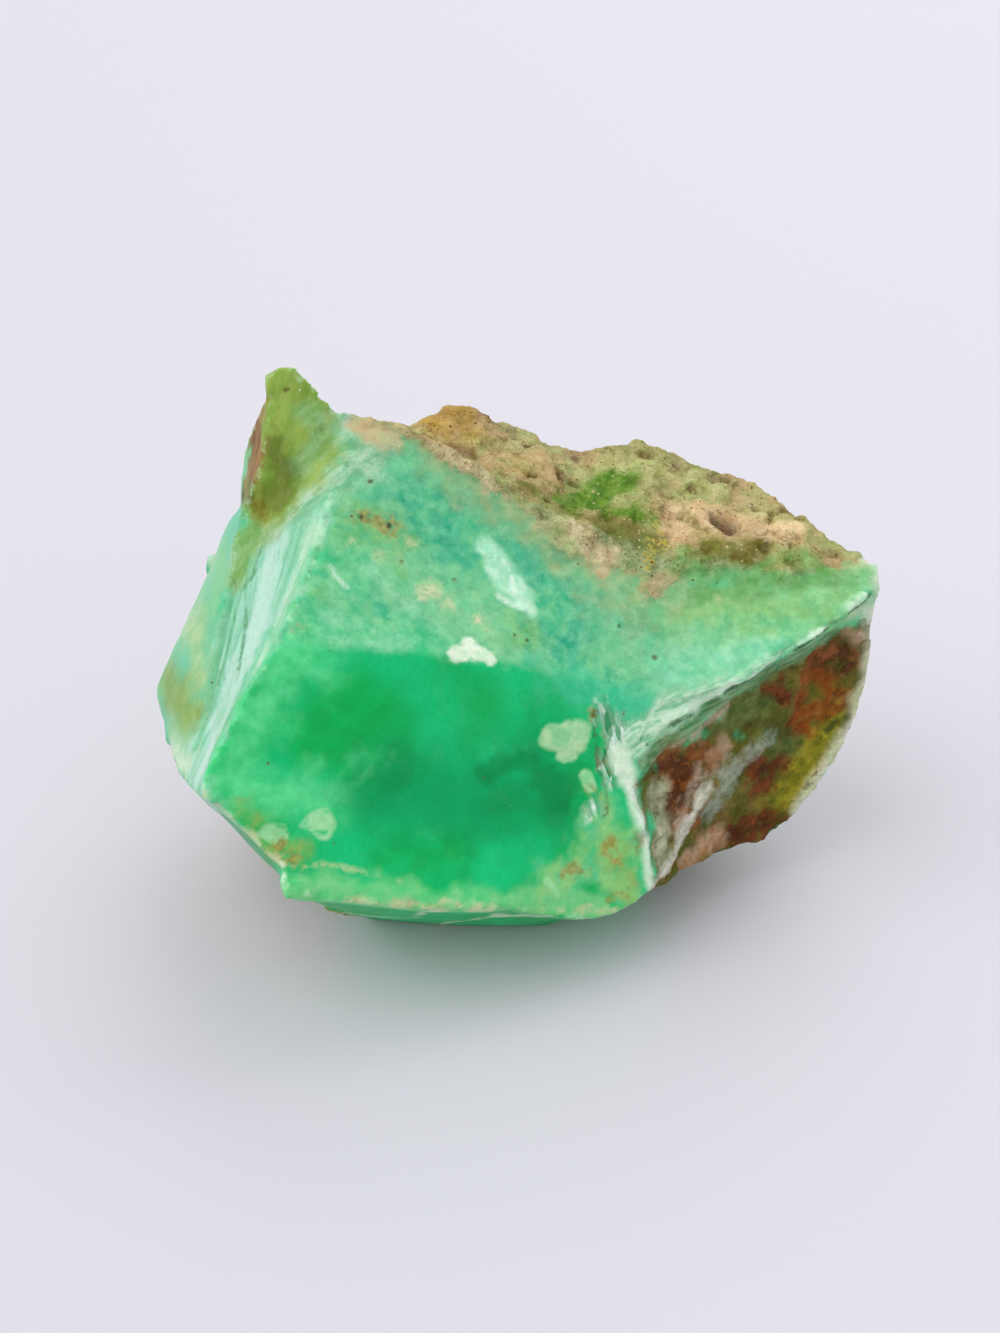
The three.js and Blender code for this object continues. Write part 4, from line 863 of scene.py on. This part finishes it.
def chalcedonyMaterial():
    # chrysoprase chalcedony, broken by hand: waxy apple to emerald green with milk inside,
    # a matt sandy skin where it weathered, and iron stain where water got in
    material = bpy.data.materials.new("chrysoprase chalcedony")
    material.use_nodes = True
    tree = material.node_tree
    tree.nodes.clear()

    spot = addNode(tree, "ShaderNodeTexCoord", {}, "Object")
    spot = addNode(tree, "ShaderNodeVectorMath", {0: spot, "Scale": 1 / mm}, "Vector",
                   operation="SCALE")

    def drawnOut(way, drawn):
        # the place with its distance along the way shortened, so what is laid there runs along
        if not way:
            return spot
        run = addNode(tree, "ShaderNodeVectorMath", {0: spot, 1: way}, "Value",
                      operation="DOT_PRODUCT")
        run = maths("MULTIPLY", run, -drawn)
        run = addNode(tree, "ShaderNodeVectorMath", {0: way, "Scale": run}, "Vector",
                      operation="SCALE")
        return addNode(tree, "ShaderNodeVectorMath", {0: spot, 1: run}, "Vector",
                       operation="ADD")

    def attribute(name, output="Fac"):
        return addNode(tree, "ShaderNodeAttribute", {}, output, attribute_name=name)

    def maths(operation, *values, clamp=False):
        return addNode(tree, "ShaderNodeMath", dict(enumerate(values)), operation=operation,
                       use_clamp=clamp)

    def fade(value, start, end, whole=1.0, least=0.0):
        # least up to the start, whole from the end on, and smooth between
        return addNode(tree, "ShaderNodeMapRange", {
            "Value": value, "From Min": start, "From Max": end, "To Min": least,
            "To Max": whole}, interpolation_type="SMOOTHSTEP")

    def laidOver(under, share, paint):
        return addNode(tree, "ShaderNodeMix", {0: share, 6: under, 7: paint}, 2,
                       data_type="RGBA")

    def between(share, first, second):
        return addNode(tree, "ShaderNodeMix", {0: share, 2: first, 3: second}, 0,
                       data_type="FLOAT")

    raw, even = {}, {}
    for name, (size, octaves, rough, way, drawn) in noises.items():
        raw[name] = addNode(tree, "ShaderNodeTexNoise", {"Vector": drawnOut(way, drawn),
                            "Scale": 1 / size, "Detail": octaves - 1, "Roughness": rough})
        even[name] = fade(raw[name], *noiseSpread)
    splinters = addNode(tree, "ShaderNodeTexVoronoi", {
        "Vector": drawnOut(crackWay, shards[1]), "Scale": 1 / shards[0]}, "Color")
    even["shards"] = addNode(tree, "ShaderNodeSeparateColor", {0: splinters})

    # the skin breaks up into crumbs along its border
    crumbs = chalcedony["crumbs"]
    skinMask = maths("MULTIPLY_ADD", raw["mottle"], crumbs, attribute("skin"))
    skinMask = fade(skinMask, crumbs / 2 - 0.3, crumbs / 2 + 0.3)
    colour = laidOver(attribute("bodyColour", "Color"), skinMask,
                      attribute("skinColour", "Color"))
    for name, own in marks.items():
        mark = {**usual, **own}
        field = maths("MULTIPLY_ADD", raw["wander"], 4 * mark["ragged"], attribute(name))
        middle = 2 * mark["ragged"]
        mask = fade(field, middle - mark["soft"], middle + mark["soft"], mark["cover"])
        if "patchy" in mark:
            pattern, low, high, gone = mark["patchy"]
            mask = maths("MULTIPLY", mask, fade(raw[pattern], low, high, least=1 - gone))
        first, second = (linear(tint) for tint in mark["colours"])
        colour = laidOver(colour, mask, laidOver(first, even[mark["inner"]], second))

    dry = attribute("dry")
    moist = maths("SUBTRACT", 1.0, dry, clamp=True)
    # the milk inside, and the sharp edges painted paler, partly as wear and partly as light coming
    # through them, broken up
    veil = maths("MULTIPLY", fade(raw["wander"], 0.5, 0.8, chalcedony["veil"]), moist)
    colour = laidOver(colour, veil, linear(chalcedony["cloud"]))
    rim = maths("MULTIPLY_ADD", raw["mottle"], -crumbs, attribute("ridge"))
    rim = fade(rim, 0.2 - crumbs / 2, -0.2 - crumbs / 2, chalcedony["rimShows"])
    rim = maths("MULTIPLY", rim, moist)
    colour = laidOver(colour, rim, linear(chalcedony["rim"]))

    for name, speck in specks.items():
        cells = addNode(tree, "ShaderNodeTexVoronoi", {"Vector": spot,
                        "Scale": 1 / speck["apart"]}, "Distance")
        chance = addNode(tree, "ShaderNodeSeparateColor", {0: cells.node.outputs["Color"]})
        # the luckier a place, the larger its speck; places over the share hold none
        reach = addNode(tree, "ShaderNodeMapRange", {"Value": chance,
                        "From Max": attribute(name + "Crowd"),
                        "To Min": speck["radius"] / speck["apart"], "To Max": 0.0})
        dot = fade(maths("SUBTRACT", reach, cells), 0, 0.05, 0.8)
        colour = laidOver(colour, dot, linear(speck["colour"]))
    # light and dark sand grains on the skin, and only a breath of them on the green
    depth = between(dry, *chalcedony["grainShows"])
    shade = maths("MULTIPLY", maths("ADD", raw["grit"], -0.5), depth)
    shade = maths("MULTIPLY_ADD", shade, 2.0, 1.0)
    colour = addNode(tree, "ShaderNodeVectorMath", {0: colour, "Scale": shade}, "Vector",
                     operation="SCALE")

    roughness = addNode(tree, "ShaderNodeMapRange", {"Value": raw["wander"],
                        "To Min": chalcedony["roughness"][0],
                        "To Max": chalcedony["roughness"][1]})
    roughness = between(dry, roughness, chalcedony["skinRoughness"])
    glow = maths("MULTIPLY", moist, chalcedony["glow"])
    height = maths("MULTIPLY", raw["grit"], attribute("heft"))
    relief = addNode(tree, "ShaderNodeBump", {"Height": height, "Strength": chalcedony["bump"],
                     "Distance": chalcedony["gritHeight"] * mm}, "Normal")
    surface = addNode(tree, "ShaderNodeBsdfPrincipled", {
        "Base Color": colour, "Roughness": roughness, "IOR": chalcedony["ior"],
        "Specular IOR Level": chalcedony["lustre"],
        "Subsurface Weight": glow, "Subsurface Scale": mm,
        "Subsurface Radius": chalcedony["glowDepth"], "Normal": relief})
    addNode(tree, "ShaderNodeOutputMaterial", {"Surface": surface}, None)
    return material


stone.data.materials.clear()
stone.data.materials.append(chalcedonyMaterial())
for face in stone.data.polygons:
    face.use_smooth = True
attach(stone, "root")
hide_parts("rough_stone")
print("stone: painted with", len(bodyTones) + len(skinTones) + len(seamTones), "tones and",
      len(marks), "marks")

studio = {
    "floor": "#CDCCD2",                # with the suns it comes out as pale as the air
    "floorSide": 60,                   # metres either way
    "floorRoughness": 0.6,
    "air": "#E9E8ED",
    # name: the way it stands, strength, how wide it is in degrees, which makes it soft
    "suns": {
        "window": ((-0.62, -0.27, 0.74), 1.2, 55),
        "back": ((0.26, 0.66, 0.70), 0.65, 60),
        "fill": ((0.70, -0.60, 0.40), 0.20, 80),
    },
    "cameraAt": (-0.85, -83.3, 62.9),  # mm
    "down": 30,                        # degrees that the camera looks down
    "lean": 2.376,                     # degrees that it was held off level
    "lens": 42.48,                     # mm, for a sensor of
    "sensor": 36,
}


def buildStudio():
    mesh = bpy.data.meshes.new("floor")
    side = studio["floorSide"]
    mesh.from_pydata([(-side, -side, 0), (side, -side, 0), (side, side, 0), (-side, side, 0)],
                     [], [(0, 1, 2, 3)])
    floor = bpy.data.objects.new("floor", mesh)
    bpy.context.scene.collection.objects.link(floor)
    paint = bpy.data.materials.new("matt studio board")
    paint.use_nodes = True
    shader = paint.node_tree.nodes["Principled BSDF"]
    shader.inputs["Base Color"].default_value = linear(studio["floor"])
    shader.inputs["Roughness"].default_value = studio["floorRoughness"]
    mesh.materials.append(paint)

    world = bpy.data.worlds.new("studio air")
    bpy.context.scene.world = world
    world.use_nodes = True
    world.node_tree.nodes["Background"].inputs["Color"].default_value = linear(studio["air"])
    for name, (way, strength, width) in studio["suns"].items():
        sun = bpy.data.lights.new(name, "SUN")
        sun.energy = strength
        sun.angle = math.radians(width)
        holder = bpy.data.objects.new(name, sun)
        holder.rotation_euler = (-Vector(way)).to_track_quat("-Z", "Y").to_euler()
        bpy.context.scene.collection.objects.link(holder)


def placeCamera():
    # a standing view from in front and above, with a slight lean
    down, lean = math.radians(studio["down"]), math.radians(studio["lean"])
    right = Vector((math.cos(lean), math.sin(lean) * math.sin(down),
                    math.sin(lean) * math.cos(down)))
    up = Vector((-math.sin(lean), math.cos(lean) * math.sin(down),
                 math.cos(lean) * math.cos(down)))
    back = right.cross(up)
    turn = Matrix((right, up, back)).transposed().to_4x4()
    lens = bpy.data.cameras.new("camera")
    lens.lens = studio["lens"]
    lens.sensor_width = studio["sensor"]
    lens.clip_start = 0.005
    camera = bpy.data.objects.new("camera", lens)
    camera.matrix_world = Matrix.Translation(Vector(studio["cameraAt"]) * mm) @ turn
    bpy.context.scene.collection.objects.link(camera)
    bpy.context.scene.camera = camera


buildStudio()
placeCamera()
bpy.context.scene.view_settings.view_transform = "Standard"
bpy.context.view_layer.update()
print("studio: floor, lamps and camera placed")
